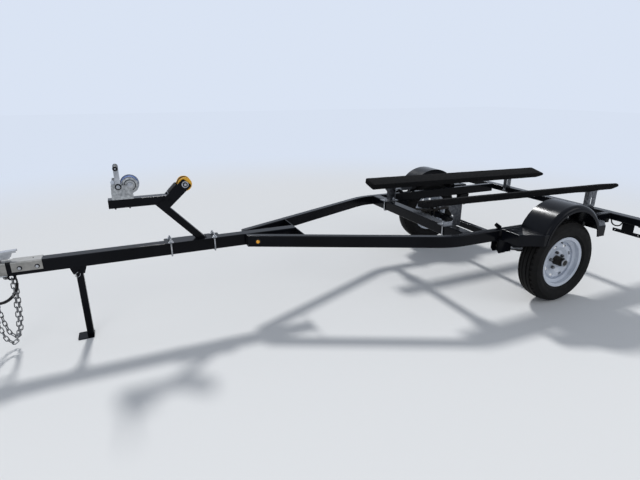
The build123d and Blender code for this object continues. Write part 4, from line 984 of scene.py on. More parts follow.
for side_name, side in SIDES.items():
    bm = bmesh.new()
    plank = bmesh.ops.create_cube(bm, size=1)["verts"]
    size = (BUNK_LONG - END_SLACK, BUNK_W - SIDE_SLACK, BUNK_T - SIDE_SLACK)
    bmesh.ops.scale(bm, vec=size, verts=plank)
    round_edges(bm, bm.edges[:], BUNK_EDGE, 4)
    for cut in range(1, BUNK_CUTS):
        cut_across(bm, ((cut / BUNK_CUTS - 0.5) * BUNK_LONG, 0, 0), (1, 0, 0))
    for vert in bm.verts:
        x, y, z = vert.co
        vert.co += Vector((0, y, z)).normalized() * waver(x, y, z, side)
        undercut = max(0, 1 - (BUNK_LONG / 2 - x) / UNDERCUT)
        rounded = max(0, 1 - (BUNK_LONG / 2 - x) / STERN_ROUND)
        vert.co.z += UNDERCUT_DEEP * undercut if z < 0 else -STERN_DROP * rounded**2
    bmesh.ops.transform(bm, matrix=bunk_frame(side), verts=bm.verts)
    board, cover = f"{side_name}_bunk", f"{side_name}_bunk_carpet"
    finish_piece(cover, bm, CHASSIS, carpet_black, [board], CLOTH_ANGLE)

# %% [markdown]
# The winch strap is one long web wound on the drum. It could be a spiral ribbon of many
# turns, but only the edges of the turns show, as fine rings. So the roll is one turned shape
# whose outline steps in and out a little at every layer.

# %% Winch strap
DRUM_X, WINCH_Z = -2.712, 0.920
STRAP_IN, STRAP_OUT, STRAP_HALF, TURNS = 0.0163, 0.0479, 0.025, 15
LAYER = (STRAP_OUT - STRAP_IN) / TURNS
GROOVE, CREST, LAST_EDGE = STRAP_HALF - 0.0012, STRAP_HALF - 0.0004, STRAP_HALF - 0.0014
web_edge = []
for number in range(TURNS):
    start = STRAP_IN + number * LAYER
    web_edge += [(start, GROOVE), (start + 0.3 * LAYER, CREST), (start + 0.7 * LAYER, CREST)]
web_edge.append((STRAP_OUT, LAST_EDGE))
section = web_edge + [(radius, -half) for radius, half in reversed(web_edge)]
bm = bmesh.new()
add_turned(bm, section + section[:1], at_axle(DRUM_X, 0, WINCH_Z), ACROSS, 48)
stood_for = ["winch_strap"]
finish_piece("winch_strap_web", bm, "drum_body", webbing, stood_for, CLOTH_ANGLE)

# %% [markdown]
# The crank's grip is a black sleeve, swollen a little in the middle, with a ring at its free
# end. The bright end of the pin that it turns on shows inside the ring. Both are turned
# round the same line, but they are two pieces, because one is plastic and one is steel.

# %% Crank grip
CRANK_X = DRUM_X - 0.063
CRANK_REACH, GRIP_FROM = 0.118, 0.066
SLEEVE = [
    (0.0112, 0.0004),
    (0.0138, 0.0010),
    (0.0128, 0.0080),
    (0.0136, 0.0400),
    (0.0130, 0.0800),
    (0.0138, 0.0880),
    (0.0136, 0.0920),
    (0.0122, 0.0945),
    (0.0088, 0.0945),
    (0.0080, 0.0925),
    (0.0, 0.0925),
]
PIN_END = [(0, 0.0920), (0.0055, 0.0920), (0.0055, 0.0945), (0.0042, 0.0965), (0, 0.0970)]
grip_foot = at_axle(CRANK_X, -GRIP_FROM, WINCH_Z + CRANK_REACH)
bm = bmesh.new()
add_turned(bm, SLEEVE, grip_foot, NEAR, 28)
finish_piece("crank_grip", bm, "crank_body", cable_black)
bm = bmesh.new()
add_turned(bm, PIN_END, grip_foot, NEAR, 20)
finish_piece("crank_pin_end", bm, "crank_body", bright_zinc)

# %% [markdown]
# The bow roller is a moulded spool: two narrow flanges with rounded rims and, between them,
# a throat whose section is half an ellipse, which the keel of a hull settles into. The
# ellipse is worked out from its angle, so that it stays smooth whatever its depth. The
# throat's faces get a second, darker finish through their material index, as painted shade.

# %% Bow roller
ROLLER_X, ROLLER_Z = -2.406, 0.901
ROLLER_R, ROLLER_HALF, THROAT_HALF, THROAT_DEPTH = 0.042, 0.036, 0.027, 0.022
THROAT_STEPS, THROAT_ANGLE, SHADE_DROP = 8, 82, 0.004
flange = [
    (0.0081, ROLLER_HALF),
    (0.0180, ROLLER_HALF),
    (0.0190, ROLLER_HALF - 0.0015),
    (0.0350, ROLLER_HALF - 0.0015),
    (0.0360, ROLLER_HALF - 0.0004),
    (0.0395, ROLLER_HALF - 0.0008),
    (0.0415, ROLLER_HALF - 0.0025),
    (ROLLER_R, ROLLER_HALF - 0.0050),
    (ROLLER_R - 0.0006, THROAT_HALF + 0.0010),
]
for step in range(THROAT_STEPS + 1):
    turn = radians(THROAT_ANGLE - THROAT_ANGLE * step / THROAT_STEPS)
    flange.append((ROLLER_R - THROAT_DEPTH * cos(turn), THROAT_HALF * sin(turn)))
section = flange + [(radius, -height) for radius, height in reversed(flange[:-1])]
roller_mid = at_axle(ROLLER_X, 0, ROLLER_Z)
bm = bmesh.new()
add_turned(bm, section + section[:1], roller_mid, ACROSS, 56)
stood_for = ["bow_roller"]
spool = finish_piece(
    "bow_roller_spool", bm, "roller_body", roller_yellow, stood_for
)
spool.data.materials.append(roller_painted_shade)
# Painted shade: the throat's faces below the rim take the darker finish.
for face in spool.data.polygons:
    away = face.center - roller_mid
    below_rim = ROLLER_R - Vector((away.x, away.z)).length
    if abs(away.y) < THROAT_HALF and below_rim > SHADE_DROP:
        face.material_index = 1
print("roller", 2 * ROLLER_R, "across", 2 * ROLLER_HALF, "wide")

# %% [markdown]
# A tail lamp is a black moulded back with a ribbed red lens. The ribs bend the bulb's light
# towards a driver behind. A bump texture could suggest them, but they show at the lens's
# outline too, so the lens is cut across into strips, and each strip is inset and pushed out.

# %% Tail lamps
BACK_DEEP, LENS_DEEP, LENS_MARGIN = 0.022, 0.028, 0.008
LENS_SEAT, LENS_CORNER, LENS_RIM = 0.0152, 0.010, 0.003
LENS_RIBS, RIB_MARGIN, RIB_INSET, RIB_RISE, RIB_AREA = 12, 0.020, 0.0012, 0.0010, 1e-4
HAIR = 1e-4


def plain_block(size):
    """A bmesh that holds one plain block of a size, centred on the origin."""
    bm = bmesh.new()
    bmesh.ops.create_cube(bm, size=1)
    bmesh.ops.scale(bm, vec=size, verts=bm.verts)
    return bm


for side_name, side in SIDES.items():
    lamp = f"{side_name}_tail_lamp"
    low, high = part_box(lamp)
    mid, size = (low + high) / 2, high - low
    bm = plain_block((BACK_DEEP, size.y, size.z))
    round_edges(bm, bm.edges[:], 0.004, 3)
    bmesh.ops.translate(bm, vec=(low.x + BACK_DEEP / 2, mid.y, mid.z), verts=bm.verts)
    finish_piece(f"{lamp}_back", bm, CHASSIS, cable_black, [lamp])

    bm = plain_block((LENS_DEEP, size.y - LENS_MARGIN, size.z - LENS_MARGIN))
    lengthwise = [e for e in bm.edges if abs(e.verts[0].co.x - e.verts[1].co.x) > HAIR]
    round_edges(bm, lengthwise, LENS_CORNER, 5)
    front = [e for e in bm.edges if all(v.co.x > LENS_DEEP / 2 - HAIR for v in e.verts)]
    round_edges(bm, front, LENS_RIM, 3)
    for cut in range(1, LENS_RIBS):
        cut_across(bm, (0, 0, (cut / LENS_RIBS - 0.5) * (size.z - RIB_MARGIN)), UP)
    ribs = [f for f in bm.faces if f.normal.x > 0.9 and f.calc_area() > RIB_AREA]
    bmesh.ops.inset_individual(bm, faces=ribs, thickness=RIB_INSET, depth=RIB_RISE)
    bmesh.ops.translate(bm, vec=(high.x - LENS_SEAT, mid.y, mid.z), verts=bm.verts)
    finish_piece(f"{lamp}_lens", bm, CHASSIS, red_lens)

# %% [markdown]
# The small round marker lamps sit on the slanting front rails: a black rubber ring with a
# domed amber lens. The ring's groove and the dome are outlines of a few points, spun round
# the direction in which the rail's side faces.

# %% Marker lamps
RAIL_SLANT = radians(24.7)
MARKER_R, MARKER_TALL = 0.019, 0.014
MARKER_RING = [
    (0, 0.0002),
    (MARKER_R, 0.0002),
    (MARKER_R, 0.004),
    (0.0170, 0.006),
    (0.0122, 0.006),
    (0.0122, 0.001),
    (0, 0.001),
]
MARKER_DOME = [
    (0, 0.0015),
    (0.0121, 0.0015),
    (0.0121, 0.0070),
    (0.0113, 0.0100),
    (0.0090, 0.0125),
    (0.0050, 0.0136),
    (0, 0.0139),
]
marker_low, marker_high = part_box("marker_lamps")
marker_x = marker_high.x - MARKER_R * cos(RAIL_SLANT)
marker_y = marker_high.y - MARKER_TALL * cos(RAIL_SLANT) - MARKER_R * sin(RAIL_SLANT)
marker_z = (marker_low.z + marker_high.z) / 2
for side_name, side in SIDES.items():
    out = (-sin(RAIL_SLANT), side * cos(RAIL_SLANT), 0)
    foot = (marker_x, side * marker_y, marker_z)
    bm = bmesh.new()
    add_turned(bm, MARKER_RING, foot, out, 32)
    stood_for = ["marker_lamps"]
    finish_piece(f"{side_name}_marker_ring", bm, CHASSIS, cable_black, stood_for)
    bm = bmesh.new()
    add_turned(bm, MARKER_DOME, foot, out, 32)
    finish_piece(f"{side_name}_marker_lens", bm, CHASSIS, amber_lens)

# %% [markdown]
# A nut on its washer is the same shape in every size: all its parts are fixed shares of the
# thread's width. So one helper draws it from that width, and a second one sets it at a list
# of places and, since a trailer has two like sides, mirrors each place to the other side.

# %% One fastener
def add_fastener(bm, place, direction, size, washer=True, stud=0.0, head=None):
    """A hexagon nut or bolt head on a washer; stud is how far the thread stands past it."""
    base, tall = 0.0, head or 0.8 * size
    if washer:
        base = 0.18 * size
        add_prism(bm, 24, 1.25 * size, 0, base, place, direction, 0.04 * size)
    top = base + tall
    add_prism(bm, 6, 0.9 * size, base, top, place, direction, 0.08 * size)
    if stud:
        add_prism(bm, 16, 0.5 * size, top, top + stud, place, direction, 0.08 * size)


def mirrored(places):
    """Each (x, y, z) counted from the axle, on both sides of the trailer, and its side."""
    return [(at_axle(x, side * y, z), side) for x, y, z in places for side in (1, -1)]


def add_fasteners(bm, places, direction, size, **how):
    """The same fastener at each place and mirrored on the other side."""
    for place, side in mirrored(places):
        add_fastener(bm, place, (direction[0], side * direction[1], direction[2]), size, **how)


# %% [markdown]
# A trailer of this kind is bolted together so that its brackets can be moved to suit a hull,
# and a nut shows wherever a thread comes through. Copies of one nut object would do, but each
# would be one more piece to keep, so all bright nuts are added to one mesh.

# %% Bright nuts
RAIL_Y = 0.6195
THICK_ROD, ROD, THIN_BOLT = 0.013, 0.010, 0.008
COUPLER_BOLTS_X, COUPLER_BOLT_Z, WINCH_BOLTS_X = (-3.331, -3.246), 0.507, (-2.806, -2.728)
STAND_NUTS = [(x, 0.0441, DECK_Z + 0.006) for x in (-2.524, -2.256)]
COUPLER_NUTS = [(x, 0.0437, COUPLER_BOLT_Z) for x in COUPLER_BOLTS_X]
LATCH_PIN = (-3.462, 0.0171, 0.562)
FRONT_CLAMP_NUTS = [(x, 0.390, DECK_Z + 0.005) for x in (-0.7256, -0.6384)]
REAR_CLAMP_FRONT, REAR_CLAMP_BACK = (0.6679, 0.430, 0.515), (0.7491, 0.430, 0.515)
AXLE_CLAMP_NUTS = [
    (x, RAIL_Y + away, 0.357) for x in (-0.031, 0.031) for away in (0.0285, -0.0285)
]

bm = bmesh.new()
add_fasteners(bm, STAND_NUTS, UP, THICK_ROD)
add_fasteners(bm, COUPLER_NUTS, ACROSS, ROD, washer=False)
add_fasteners(bm, [LATCH_PIN], ACROSS, THIN_BOLT, head=0.0048)
add_fasteners(bm, FRONT_CLAMP_NUTS, UP, ROD)
add_fasteners(bm, [REAR_CLAMP_FRONT], (-1, 0, 0), ROD)
add_fasteners(bm, [REAR_CLAMP_BACK], (1, 0, 0), ROD)
add_fasteners(bm, AXLE_CLAMP_NUTS, UP, ROD)
for x in WINCH_BOLTS_X:
    add_fastener(bm, at_axle(x, 0, 0.844), UP, THIN_BOLT)
finish_piece("frame_fasteners", bm, CHASSIS, bright_zinc)

# %% [markdown]
# Other nuts were fitted before the frame was sprayed, or are blackened, so they take the
# frame's paint: round the coupler's bolts, under the winch, on the roller's bolt, on the
# fender arms and at the springs. They share a finish, so they share a mesh. So does the
# small dark spot on top of the coupler, which is one thin disc.

# %% Black washers and nuts
COUPLER_RING = [
    (0.0085, 0),
    (0.0125, 0),
    (0.0125, 0.0009),
    (0.0118, 0.0012),
    (0.0085, 0.0012),
    (0.0085, 0),
]
COUPLER_SPOT = (-3.265, 0.003, 0.5444)
ROLLER_NUT, ROLLER_BOLT_END = (ROLLER_X, 0.0463, ROLLER_Z), (ROLLER_X, 0.0550, ROLLER_Z)
FENDER_ARMS_X, ARM_TOP, ARM_UNDER = (-0.395, 0.350), 0.550, 0.540
ARM_BOLTS = [(x, y) for x in FENDER_ARMS_X for y in (0.705, 0.762)]
SPRING_BOLTS, HANGER_HALF = ((-0.405, 0.4179), (0.325, 0.3713), (0.325, 0.3929)), 0.0295

bm = bmesh.new()
for place, side in mirrored([(x, 0.0425, COUPLER_BOLT_Z) for x in COUPLER_BOLTS_X]):
    add_turned(bm, COUPLER_RING, place, (0, side, 0), 28)
for x in WINCH_BOLTS_X:
    add_fastener(bm, at_axle(x, 0, 0.7902), DOWN, 0.009, washer=False, stud=0.006)
add_fasteners(bm, [ROLLER_NUT], ACROSS, 0.017, washer=False, head=0.0088)
for place, side in mirrored([(x, y, ARM_TOP) for x, y in ARM_BOLTS]):
    add_prism(bm, 24, 0.0105, 0, 0.0022, place, UP, 0.0009)
add_fasteners(bm, [(x, y, ARM_UNDER) for x, y in ARM_BOLTS], DOWN, THIN_BOLT, stud=0.004)
for face in (1, -1):
    spring_nuts = [(x, RAIL_Y + face * HANGER_HALF, z) for x, z in SPRING_BOLTS]
    add_fasteners(bm, spring_nuts, (0, face, 0), 0.0112, head=0.0075)
add_prism(bm, 20, 0.0042, 0, 0.0006, at_axle(*COUPLER_SPOT), UP, 0.0002)
finish_piece("black_washers_and_nuts", bm, CHASSIS, frame_paint)

bm = bmesh.new()
for place, side in mirrored([ROLLER_BOLT_END]):
    add_prism(bm, 20, 0.0055, 0, 0.0020, place, (0, side, 0), 0.0006)
finish_piece("roller_bolt_ends", bm, CHASSIS, bright_zinc)

# %% [markdown]
# Frame members are joined by fillet welds, and under fresh black paint the beads still show
# as rows of small ripples. A straight fillet would look like putty. Each bead is a rippled
# rod, half sunk into its corner: an outline that swells once for every coin of weld, spun
# round the line of the joint.

# %% One weld bead
COIN_STEP = 0.0032


def add_weld(bm, start, end, size=0.003):
    """A weld bead between two points counted from the axle, rippled like laid coins."""
    start, end = at_axle(*start), at_axle(*end)
    run = (end - start).length
    coins = max(3, round(run / COIN_STEP))
    bead = [(0, 0)]
    for coin in range(coins):
        bead += [(0.8 * size, coin * run / coins), (size, (coin + 0.5) * run / coins)]
    bead += [(0.8 * size, run), (0, run)]
    add_turned(bm, bead, start, end - start, 8)


def add_upright_weld(bm, x, y, low, high, size=0.003):
    """A weld bead that runs straight up."""
    add_weld(bm, (x, y, low), (x, y, high), size)


# %% [markdown]
# Beads lie where a part stands on another: down the sides of tubes that butt together, in
# three short runs along each spring hanger, and round the foot of the winch stand. Their
# places follow from the faces of the tubes, so those faces are named first.

# %% Welds
TUBE_HALF = 0.0254
RAIL_IN, RAIL_OUT = RAIL_Y - TUBE_HALF, RAIL_Y + TUBE_HALF
CROSS_LOW = DECK_Z - 2 * TUBE_HALF
STAND_FOOT_X, STAND_FOOT_Z = (-2.3655, -2.3045), DECK_Z + 0.0066
HANGERS = ((-0.452, -0.340), (0.274, 0.371))
HANGER_BEAD = 0.022

bm = bmesh.new()
for side in (1, -1):
    add_upright_weld(bm, -2.048, side * 0.0386, UNDER_Z + 0.002, DECK_Z - 0.002)
    for x in (-0.7205, -0.6435):
        add_upright_weld(bm, x, side * RAIL_IN, UNDER_Z + 0.003, DECK_Z - 0.003)
    for y in (RAIL_IN - 0.0003, RAIL_OUT + 0.0003):
        add_upright_weld(bm, 0.6726, side * y, CROSS_LOW + 0.003, DECK_Z - 0.003)
    for x in FENDER_ARMS_X:
        for edge in (-0.0192, 0.0192):
            add_upright_weld(bm, x + edge, side * (RAIL_OUT + 0.0012), 0.480, 0.536, 0.0026)
    for away in (0.0297, -0.0297):
        for front, rear in HANGERS:
            step = (rear - front - HANGER_BEAD) / 2
            for number in range(3):
                x, y, z = front + number * step, side * RAIL_Y + away, UNDER_Z - 0.001
                add_weld(bm, (x, y, z), (x + HANGER_BEAD, y, z), 0.0025)
    y, z = side * 0.0275, UNDER_Z - 0.0006
    add_weld(bm, (-3.093, y, z), (-3.007, y, z))
    add_weld(bm, (-2.366, side * 0.0226, STAND_FOOT_Z), (-2.304, side * 0.0226, STAND_FOOT_Z))
for x in STAND_FOOT_X:
    add_weld(bm, (x, -0.0215, STAND_FOOT_Z), (x, 0.0215, STAND_FOOT_Z))
finish_piece("frame_welds", bm, CHASSIS, frame_paint)

# %% [markdown]
# A moulded fender is stiffened along its inner edge by a lip that is turned down, so that
# nobody can look over the tyre and out at the other side. It could be a disc that is cut to
# a ring, but one short edge, spun round the arch's centre, draws the ring sector at once,
# and the sheet that it leaves is then given its thickness.

# %% Fender inner lips
ARCH_X, ARCH_Y, ARCH_Z = -0.015, 0.6572, 0.440
LIP_OUT, LIP_IN, LIP_ENDS, LIP_THICK = 0.277, 0.241, radians(9), 0.0035


def thicken(bm, faces, by):
    """Draw a copy of some faces out by a vector, with walls along their edges."""
    grown = bmesh.ops.extrude_face_region(bm, geom=faces)["geom"]
    bmesh.ops.translate(bm, vec=by, verts=of_kind(grown, bmesh.types.BMVert))


lip_start = Vector((cos(LIP_ENDS), 0, sin(LIP_ENDS)))
for side_name, side in SIDES.items():
    centre = at_axle(ARCH_X, side * ARCH_Y, ARCH_Z)
    bm = bmesh.new()
    ring = [bm.verts.new(centre + radius * lip_start) for radius in (LIP_IN, LIP_OUT)]
    bmesh.ops.spin(
        bm,
        geom=ring + [bm.edges.new(ring)],
        cent=centre,
        axis=NEAR,
        angle=pi - 2 * LIP_ENDS,
        steps=48,
        use_merge=False,
    )
    thicken(bm, bm.faces[:], (0, side * LIP_THICK, 0))
    finish_piece(f"{side_name}_fender_lip", bm, CHASSIS, fender_plastic)

# %% [markdown]
# Open tube ends are closed with pushed-in plastic caps, each a domed cover a little larger
# than the tube. A whole half-round dome would be too proud, so only the cap's outer face is
# inset and raised by a millimetre, which gives it the usual pillow shape.

# %% Tube end caps
CAP_DEEP, CAP_DOME, CAP_OVERLAP = 0.003, 0.0012, 0.001
CAP_MARGIN, CAP_CORNER, CAP_SEAT = 0.007, 0.006, 0.0016


def add_end_cap(bm, width, height, place, direction):
    """A domed rectangular cap on a tube's end."""
    part = bmesh.new()
    bmesh.ops.create_cube(part, size=1)
    size = (width + CAP_OVERLAP, height + CAP_OVERLAP, CAP_DEEP)
    bmesh.ops.scale(part, vec=size, verts=part.verts)
    crown = [f for f in part.faces if f.normal.z > 0.9]
    bmesh.ops.inset_region(part, faces=crown, thickness=CAP_MARGIN, depth=CAP_DOME)
    corners = [e for e in part.edges if abs(e.verts[0].co.z - e.verts[1].co.z) > 0.002]
    round_edges(part, corners, CAP_CORNER, 4)
    bmesh.ops.translate(part, vec=(0, 0, CAP_SEAT), verts=part.verts)
    join(bm, part, facing(place, direction))


cross_low, cross_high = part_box("rear_crossmember")
cross_mid, cross_size = (cross_low + cross_high) / 2, cross_high - cross_low
bm = bmesh.new()
for side in (1, -1):
    end = (cross_mid.x, side * cross_high.y, cross_mid.z)
    add_end_cap(bm, cross_size.x, cross_size.z, end, (0, side, 0))
finish_piece("crossmember_end_caps", bm, CHASSIS, fender_plastic)

# %% [markdown]
# On each rail, over the spring's eye, stands a small three-cornered lug of plate that a
# tie-down strap can hook into. Plate is sheared from flat sheet, so it is made that way: an
# outline seen from the side, drawn out to its thickness, with its sharp rims broken.

# %% Rail lugs
LUG = [(-0.462, 0.566), (-0.444, 0.582), (-0.396, 0.552), (-0.396, 0.5405), (-0.434, 0.5405)]


def add_side_plate(bm, outline, middle, thick):
    """An upright plate whose outline is (x from the axle, z); its middle lies at y = middle."""
    part = bmesh.new()
    face = part.faces.new([part.verts.new((AXLE_X + x, z, 0)) for x, z in outline])
    thicken(part, [face], (0, 0, thick))
    round_edges(part, part.edges[:], 0.0008, 2)
    stand_up = Matrix.Rotation(pi / 2, 4, "X")
    join(bm, part, Matrix.Translation((0, middle + thick / 2, 0)) @ stand_up)


bm = bmesh.new()
for side in (1, -1):
    add_side_plate(bm, LUG, side * 0.603, 0.005)
finish_piece("rail_lugs", bm, CHASSIS, frame_paint)

# %% [markdown]
# The drum's gear is a pressed and turned wheel: its face has a raised rim, a shallow valley
# and a boss, and a ring in the valley is made dark as painted shade. The relief is about two
# millimetres deep, so shading alone hardly shows it, and the dark ring is a thin turned
# piece of its own that lies in the valley.

# %% Winch gear face
GEAR_FACE_Y = -0.0300
GEAR_FACE = [
    (0.0090, 0),
    (0.0090, 0.0026),
    (0.0165, 0.0026),
    (0.0180, 0.0006),
    (0.0318, 0.0006),
    (0.0328, 0.0020),
    (0.0400, 0.0022),
    (0.0414, 0.0012),
    (0.0418, 0),
    (0.0090, 0),
]
VALLEY_SHADE_RING = [
    (0.0283, 0.0004),
    (0.0283, 0.0009),
    (0.0317, 0.0009),
    (0.0317, 0.0004),
    (0.0283, 0.0004),
]
gear_mid = at_axle(DRUM_X, GEAR_FACE_Y, WINCH_Z)
bm = bmesh.new()
add_turned(bm, GEAR_FACE, gear_mid, NEAR, 64)
finish_piece("drum_gear_face", bm, "drum_body", winch_zinc)
bm = bmesh.new()
# Painted shade: a thin dark ring laid in the gear's valley.
add_turned(bm, VALLEY_SHADE_RING, gear_mid, NEAR, 64)
finish_piece("drum_groove_shade_ring", bm, "drum_body", frame_paint)

# %% [markdown]
# A nut at each end holds the drum's shaft, a nut on a wide black washer holds the crank, and a
# small pawl with a pale knob stands beside the pinion to stop the strap from running out. The
# washer's width and black also stand for the shade in the notch at the crank's foot, as
# painted shade.
# Each rides on the body that it turns with: the drum's nuts on the drum, the crank's on the
# crank, and the knob on the frame, which never turns.

# %% Winch nuts and pawl knob
DRUM_NUT_Y, CRANK_WASHER, PAWL = 0.0384, 0.0012, (-2.801, -0.0381, 0.9440)
KNOB = [
    (0, 0),
    (0.0100, 0),
    (0.0112, 0.0015),
    (0.0112, 0.0065),
    (0.0098, 0.0082),
    (0.0055, 0.0088),
    (0, 0.0088),
]
bm = bmesh.new()
add_fasteners(bm, [(DRUM_X, DRUM_NUT_Y, WINCH_Z)], ACROSS, 0.0125, head=0.008)
finish_piece("drum_nuts", bm, "drum_body", bright_zinc)

crank_foot = at_axle(CRANK_X, -GRIP_FROM, WINCH_Z)
bm = bmesh.new()
# Painted shade: the black washer is wide so that it also stands for the shaded notch.
add_prism(bm, 28, 0.0175, 0, CRANK_WASHER, crank_foot, NEAR, 0.0004)
finish_piece("crank_foot_shade_washer", bm, "crank_body", frame_paint)
bm = bmesh.new()
nut_foot = crank_foot - Vector((0, CRANK_WASHER, 0))
add_fastener(bm, nut_foot, NEAR, 0.0090, washer=False, stud=0.003)
finish_piece("crank_foot_nut", bm, "crank_body", bright_zinc)

bm = bmesh.new()
add_turned(bm, KNOB, at_axle(*PAWL), NEAR, 28)
finish_piece("pawl_knob", bm, CHASSIS, shaded_white_enamel)

# %% [markdown]
# The carpet is one sheet wrapped round each plank, and its ends are folded like paper round
# a parcel. A sheet could be folded by simulation, but pressed and stapled carpet keeps the
# plain shape of its folds: two lips of doubled cloth in front, a tuck under the board, and a
# flap that curls at the stern. Each is a block with soft edges.

# %% Carpet folds
LIP_Y, FLAP_CURL = 0.024, radians(14)


def shift(x, y, z):
    """A transform that only moves."""
    return Matrix.Translation((x, y, z))


for side_name, side in SIDES.items():
    place = bunk_frame(side)
    front, under = -BUNK_LONG / 2, -BUNK_T / 2
    bm = bmesh.new()
    for y in (-LIP_Y, LIP_Y):
        lip = shift(front + 0.0025, y, -0.0005) @ Matrix.Rotation(radians(6 * y / LIP_Y), 4, "X")
        add_block(bm, (0.0065, 0.052, BUNK_T - 0.014), 0.0028, place @ lip)
    tuck = shift(front + 0.034, 0, under - 0.0008)
    add_block(bm, (0.055, BUNK_W - 0.030, 0.0035), 0.0015, place @ tuck)
    flap = shift(BUNK_LONG / 2 + 0.001, side * 0.020, 0.002) @ Matrix.Rotation(FLAP_CURL, 4, "Y")
    add_block(bm, (0.018, 0.070, 0.006), 0.0026, place @ flap)
    folds = f"{side_name}_carpet_folds"
    finish_piece(folds, bm, CHASSIS, carpet_black, angle=CLOTH_ANGLE)

# %% [markdown]
# Staples hold the carpet along the underside. A hand-held stapler never sets them quite
# straight, so each is turned by a few degrees. Random numbers would do that too, but a sine
# of the staple's number gives the same result at every run.

# %% Carpet staples
STAPLES, STAPLE_ROWS, STAPLE_SLANT = 24, (-0.052, 0.052), 20
STAPLE_SIZE, FIRST_STAPLE, STAPLED = (0.0012, 0.010, 0.0012), 0.05, BUNK_LONG - 0.145
for side_name, side in SIDES.items():
    place = bunk_frame(side)
    bm = bmesh.new()
    for number in range(STAPLES):
        x = FIRST_STAPLE - BUNK_LONG / 2 + number / (STAPLES - 1) * STAPLED
        for y in STAPLE_ROWS:
            slant = Matrix.Rotation(radians(STAPLE_SLANT * sin(5 * number + y)), 4, "Z")
            staple = shift(x, y, -BUNK_T / 2 - 0.0004) @ slant
            add_block(bm, STAPLE_SIZE, 0, place @ staple)
    finish_piece(f"{side_name}_carpet_staples", bm, CHASSIS, bright_zinc)

# %% [markdown]
# The bow stop's sloping face carries a pad of black rubber, so that a hull that is winched
# home doesn't rub on steel. Its two ends are known points on the slope, so a block laid from
# one to the other takes the right length and angle by itself.

# %% Bow stop pad
SLOPE_FROM, SLOPE_TO, STOP_HALF = (-2.5060, 0, 0.8540), (-2.4575, 0, 0.9030), 0.0433
bm = bmesh.new()
add_bar(bm, at_axle(*SLOPE_FROM), at_axle(*SLOPE_TO), 2 * STOP_HALF - 0.003, 0.006, 0.0018)
finish_piece("bow_stop_pad", bm, CHASSIS, tyre_rubber)

# %% [markdown]
# The front spring hanger is boxed in by a plain square-cornered plate on its outer side. The
# coupler's lower edge is rolled outwards behind its head, and the roll's top catches the
# light. The plate is sheared like the lugs, and the roll is a bar laid between two points.

# %% Hanger plates and coupler lip
HANGER_PLATE = [(-0.466, 0.4905), (-0.342, 0.4905), (-0.346, 0.380), (-0.460, 0.386)]
ROLL_FROM, ROLL_TO = (-3.452, 0.0405, 0.4705), (-3.396, 0.0450, 0.4705)
bm = bmesh.new()
for side in (1, -1):
    add_side_plate(bm, HANGER_PLATE, side * 0.6625, 0.003)
finish_piece("hanger_plates", bm, CHASSIS, frame_paint)

bm = bmesh.new()
for side in (1, -1):
    start, end = (at_axle(x, side * y, z) for x, y, z in (ROLL_FROM, ROLL_TO))
    add_bar(bm, start, end, 0.009, 0.006, 0.0022)
finish_piece("coupler_lip_roll", bm, CHASSIS, bright_zinc)

# %% [markdown]
# A short loop of lamp wire hangs under the rear crossmember, and a bent spring clip keeps the
# parking leg's pin in its hole. Wire bends in one smooth sweep, so both are splines with a
# round bevel, like the light cable. The loop hangs free.

# %% Small wires
WIRE_LOOP = [
    at_axle(0.690, -0.652, CROSS_LOW - 0.001),
    at_axle(0.690, -0.656, CROSS_LOW - 0.022),
    at_axle(0.691, -0.674, CROSS_LOW - 0.039),
    at_axle(0.692, -0.704, CROSS_LOW - 0.040),
    at_axle(0.693, -0.729, CROSS_LOW - 0.028),
    at_axle(0.694, -0.738, CROSS_LOW - 0.001),
]
LEG_CLIP = [
    at_axle(-3.050, -0.0325, 0.438),
    at_axle(-3.058, -0.0330, 0.432),
    at_axle(-3.070, -0.0335, 0.424),
    at_axle(-3.074, -0.0335, 0.408),
    at_axle(-3.060, -0.0335, 0.402),
    at_axle(-3.046, -0.0335, 0.410),
    at_axle(-3.044, -0.0330, 0.424),
]
lamp_wire = add_wire("lamp_wire_loop", WIRE_LOOP, 0.0050, cable_black)
add_wire("leg_pin_clip", LEG_CLIP, 0.0014, bright_zinc)

# %% [markdown]
# The trailer stands on a floor, which is needed for its shadow. A plane is enough, because a
# curved studio wall would have to be very large. Floor and surround both have to know what
# looks at them, so that is worked out once: a light path node tells rays from the camera,
# from reflections and through glass apart from those that only carry light.

# %% Floor
FLOOR_SIZE = 30


def straight_view(tree):
    """One where a ray comes from the camera, a reflection or glass, and nought elsewhere."""
    rays = add_node(tree, "LightPath").outputs
    feeds = {0: rays["Is Camera Ray"], 1: rays["Is Glossy Ray"]}
    either = add_node(tree, "Math", feeds, operation="ADD").outputs["Value"]
    feeds = {0: either, 1: rays["Is Transmission Ray"]}
    return add_node(tree, "Math", feeds, operation="MAXIMUM").outputs["Value"]


bm = bmesh.new()
bmesh.ops.create_grid(bm, x_segments=1, y_segments=1, size=FLOOR_SIZE)
floor_mesh = bpy.data.meshes.new("floor")
bm.to_mesh(floor_mesh)
bm.free()
floor = bpy.data.objects.new("floor", floor_mesh)
bpy.context.collection.objects.link(floor)
print("floor", 2 * FLOOR_SIZE, "across")

# %% [markdown]
# A plain floor would end in a horizon. This one is a matt grey near the trailer, where it
# holds the shadow, and further out it fades into the colour of the surround. The fade is a
# mix of two shaders by the distance from the middle, for the rays that look straight at it.

# %% Floor finish
BACKDROP = (0.78, 0.86, 1.0, 1)
FADE_FROM, FADE_TO = 3.2, 7.5

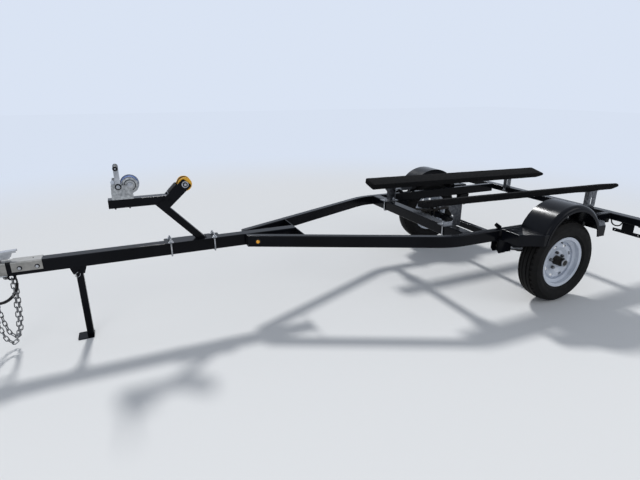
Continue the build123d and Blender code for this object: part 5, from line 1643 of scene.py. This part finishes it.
floor_paint = bpy.data.materials.new("floor_paint")
floor_paint.use_nodes = True
floor_mesh.materials.append(floor_paint)
ground = floor_paint.node_tree
matt = ground.nodes["Principled BSDF"]
matt.inputs["Base Color"].default_value = (0.70, 0.70, 0.69, 1)
matt.inputs["Roughness"].default_value = 0.9
glow = add_node(ground, "Emission", {"Color": BACKDROP, "Strength": 0.88})
place = add_node(ground, "TexCoord").outputs["Object"]
reach = add_node(ground, "VectorMath", {0: place}, operation="LENGTH").outputs["Value"]
feeds = {"Value": reach, "From Min": FADE_FROM, "From Max": FADE_TO}
fade = add_node(ground, "MapRange", feeds, interpolation_type="SMOOTHSTEP")
share = multiply(ground, straight_view(ground), fade.outputs["Result"], clamp=True)
feeds = {"Fac": share, 1: matt.outputs["BSDF"], 2: glow.outputs["Emission"]}
merge = add_node(ground, "MixShader", feeds)
surface = ground.nodes["Material Output"].inputs["Surface"]
ground.links.new(merge.outputs["Shader"], surface)
print("floor fades from", FADE_FROM, "to", FADE_TO)

# %% [markdown]
# The world is the same pale surround, and it lights the trailer from all sides. At the
# strength at which it is seen it would wash the blacks out, so its light on surfaces is
# half of that, while the camera, reflections and glass see the full level.

# %% World
LIGHT_LEVEL, SEEN_LEVEL = 0.45, 0.9
world = bpy.data.worlds.new("studio")
bpy.context.scene.world = world
world.use_nodes = True
sky = world.node_tree
feeds = {"Value": straight_view(sky), "To Min": LIGHT_LEVEL, "To Max": SEEN_LEVEL}
level = add_node(sky, "MapRange", feeds)
backdrop = sky.nodes["Background"]
backdrop.inputs["Color"].default_value = BACKDROP
sky.links.new(level.outputs["Result"], backdrop.inputs["Strength"])
print("world nodes", len(sky.nodes))

# %% [markdown]
# A clear day has one strong light. A sun lamp is used for it, because its rays are parallel
# and the shadow keeps the trailer's shape, and its angle is wide enough for a soft edge. Two
# large, weak area lamps on the camera's side open the shadows a little, and the view
# transform is the plain one, so that colours render about as they are written.

# %% Lamps
def add_lamp(name, kind, place, aim, power, softness):
    """A lamp aimed at a point; softness is a sun's angle or an area lamp's size."""
    data = bpy.data.lights.new(name, kind)
    data.energy = power
    if kind == "SUN":
        data.angle = softness
    else:
        data.size = softness
    lamp = bpy.data.objects.new(name, data)
    lamp.location = place
    aimed = (Vector(aim) - Vector(place)).to_track_quat("-Z", "Y")
    lamp.rotation_euler = aimed.to_euler()
    bpy.context.collection.objects.link(lamp)


add_lamp("key", "SUN", (0.4, 4.6, 5.6), (0, 0, 0.4), 2.3, radians(7))
add_lamp("fill", "AREA", (-3.5, -4.5, 3.5), (0, 0, 0.4), 50, 3.0)
add_lamp("side", "AREA", (4.0, -4.0, 2.5), (0.5, 0, 0.3), 30, 2.0)
bpy.context.scene.view_settings.view_transform = "Standard"
print("lamps", len(bpy.data.lights))
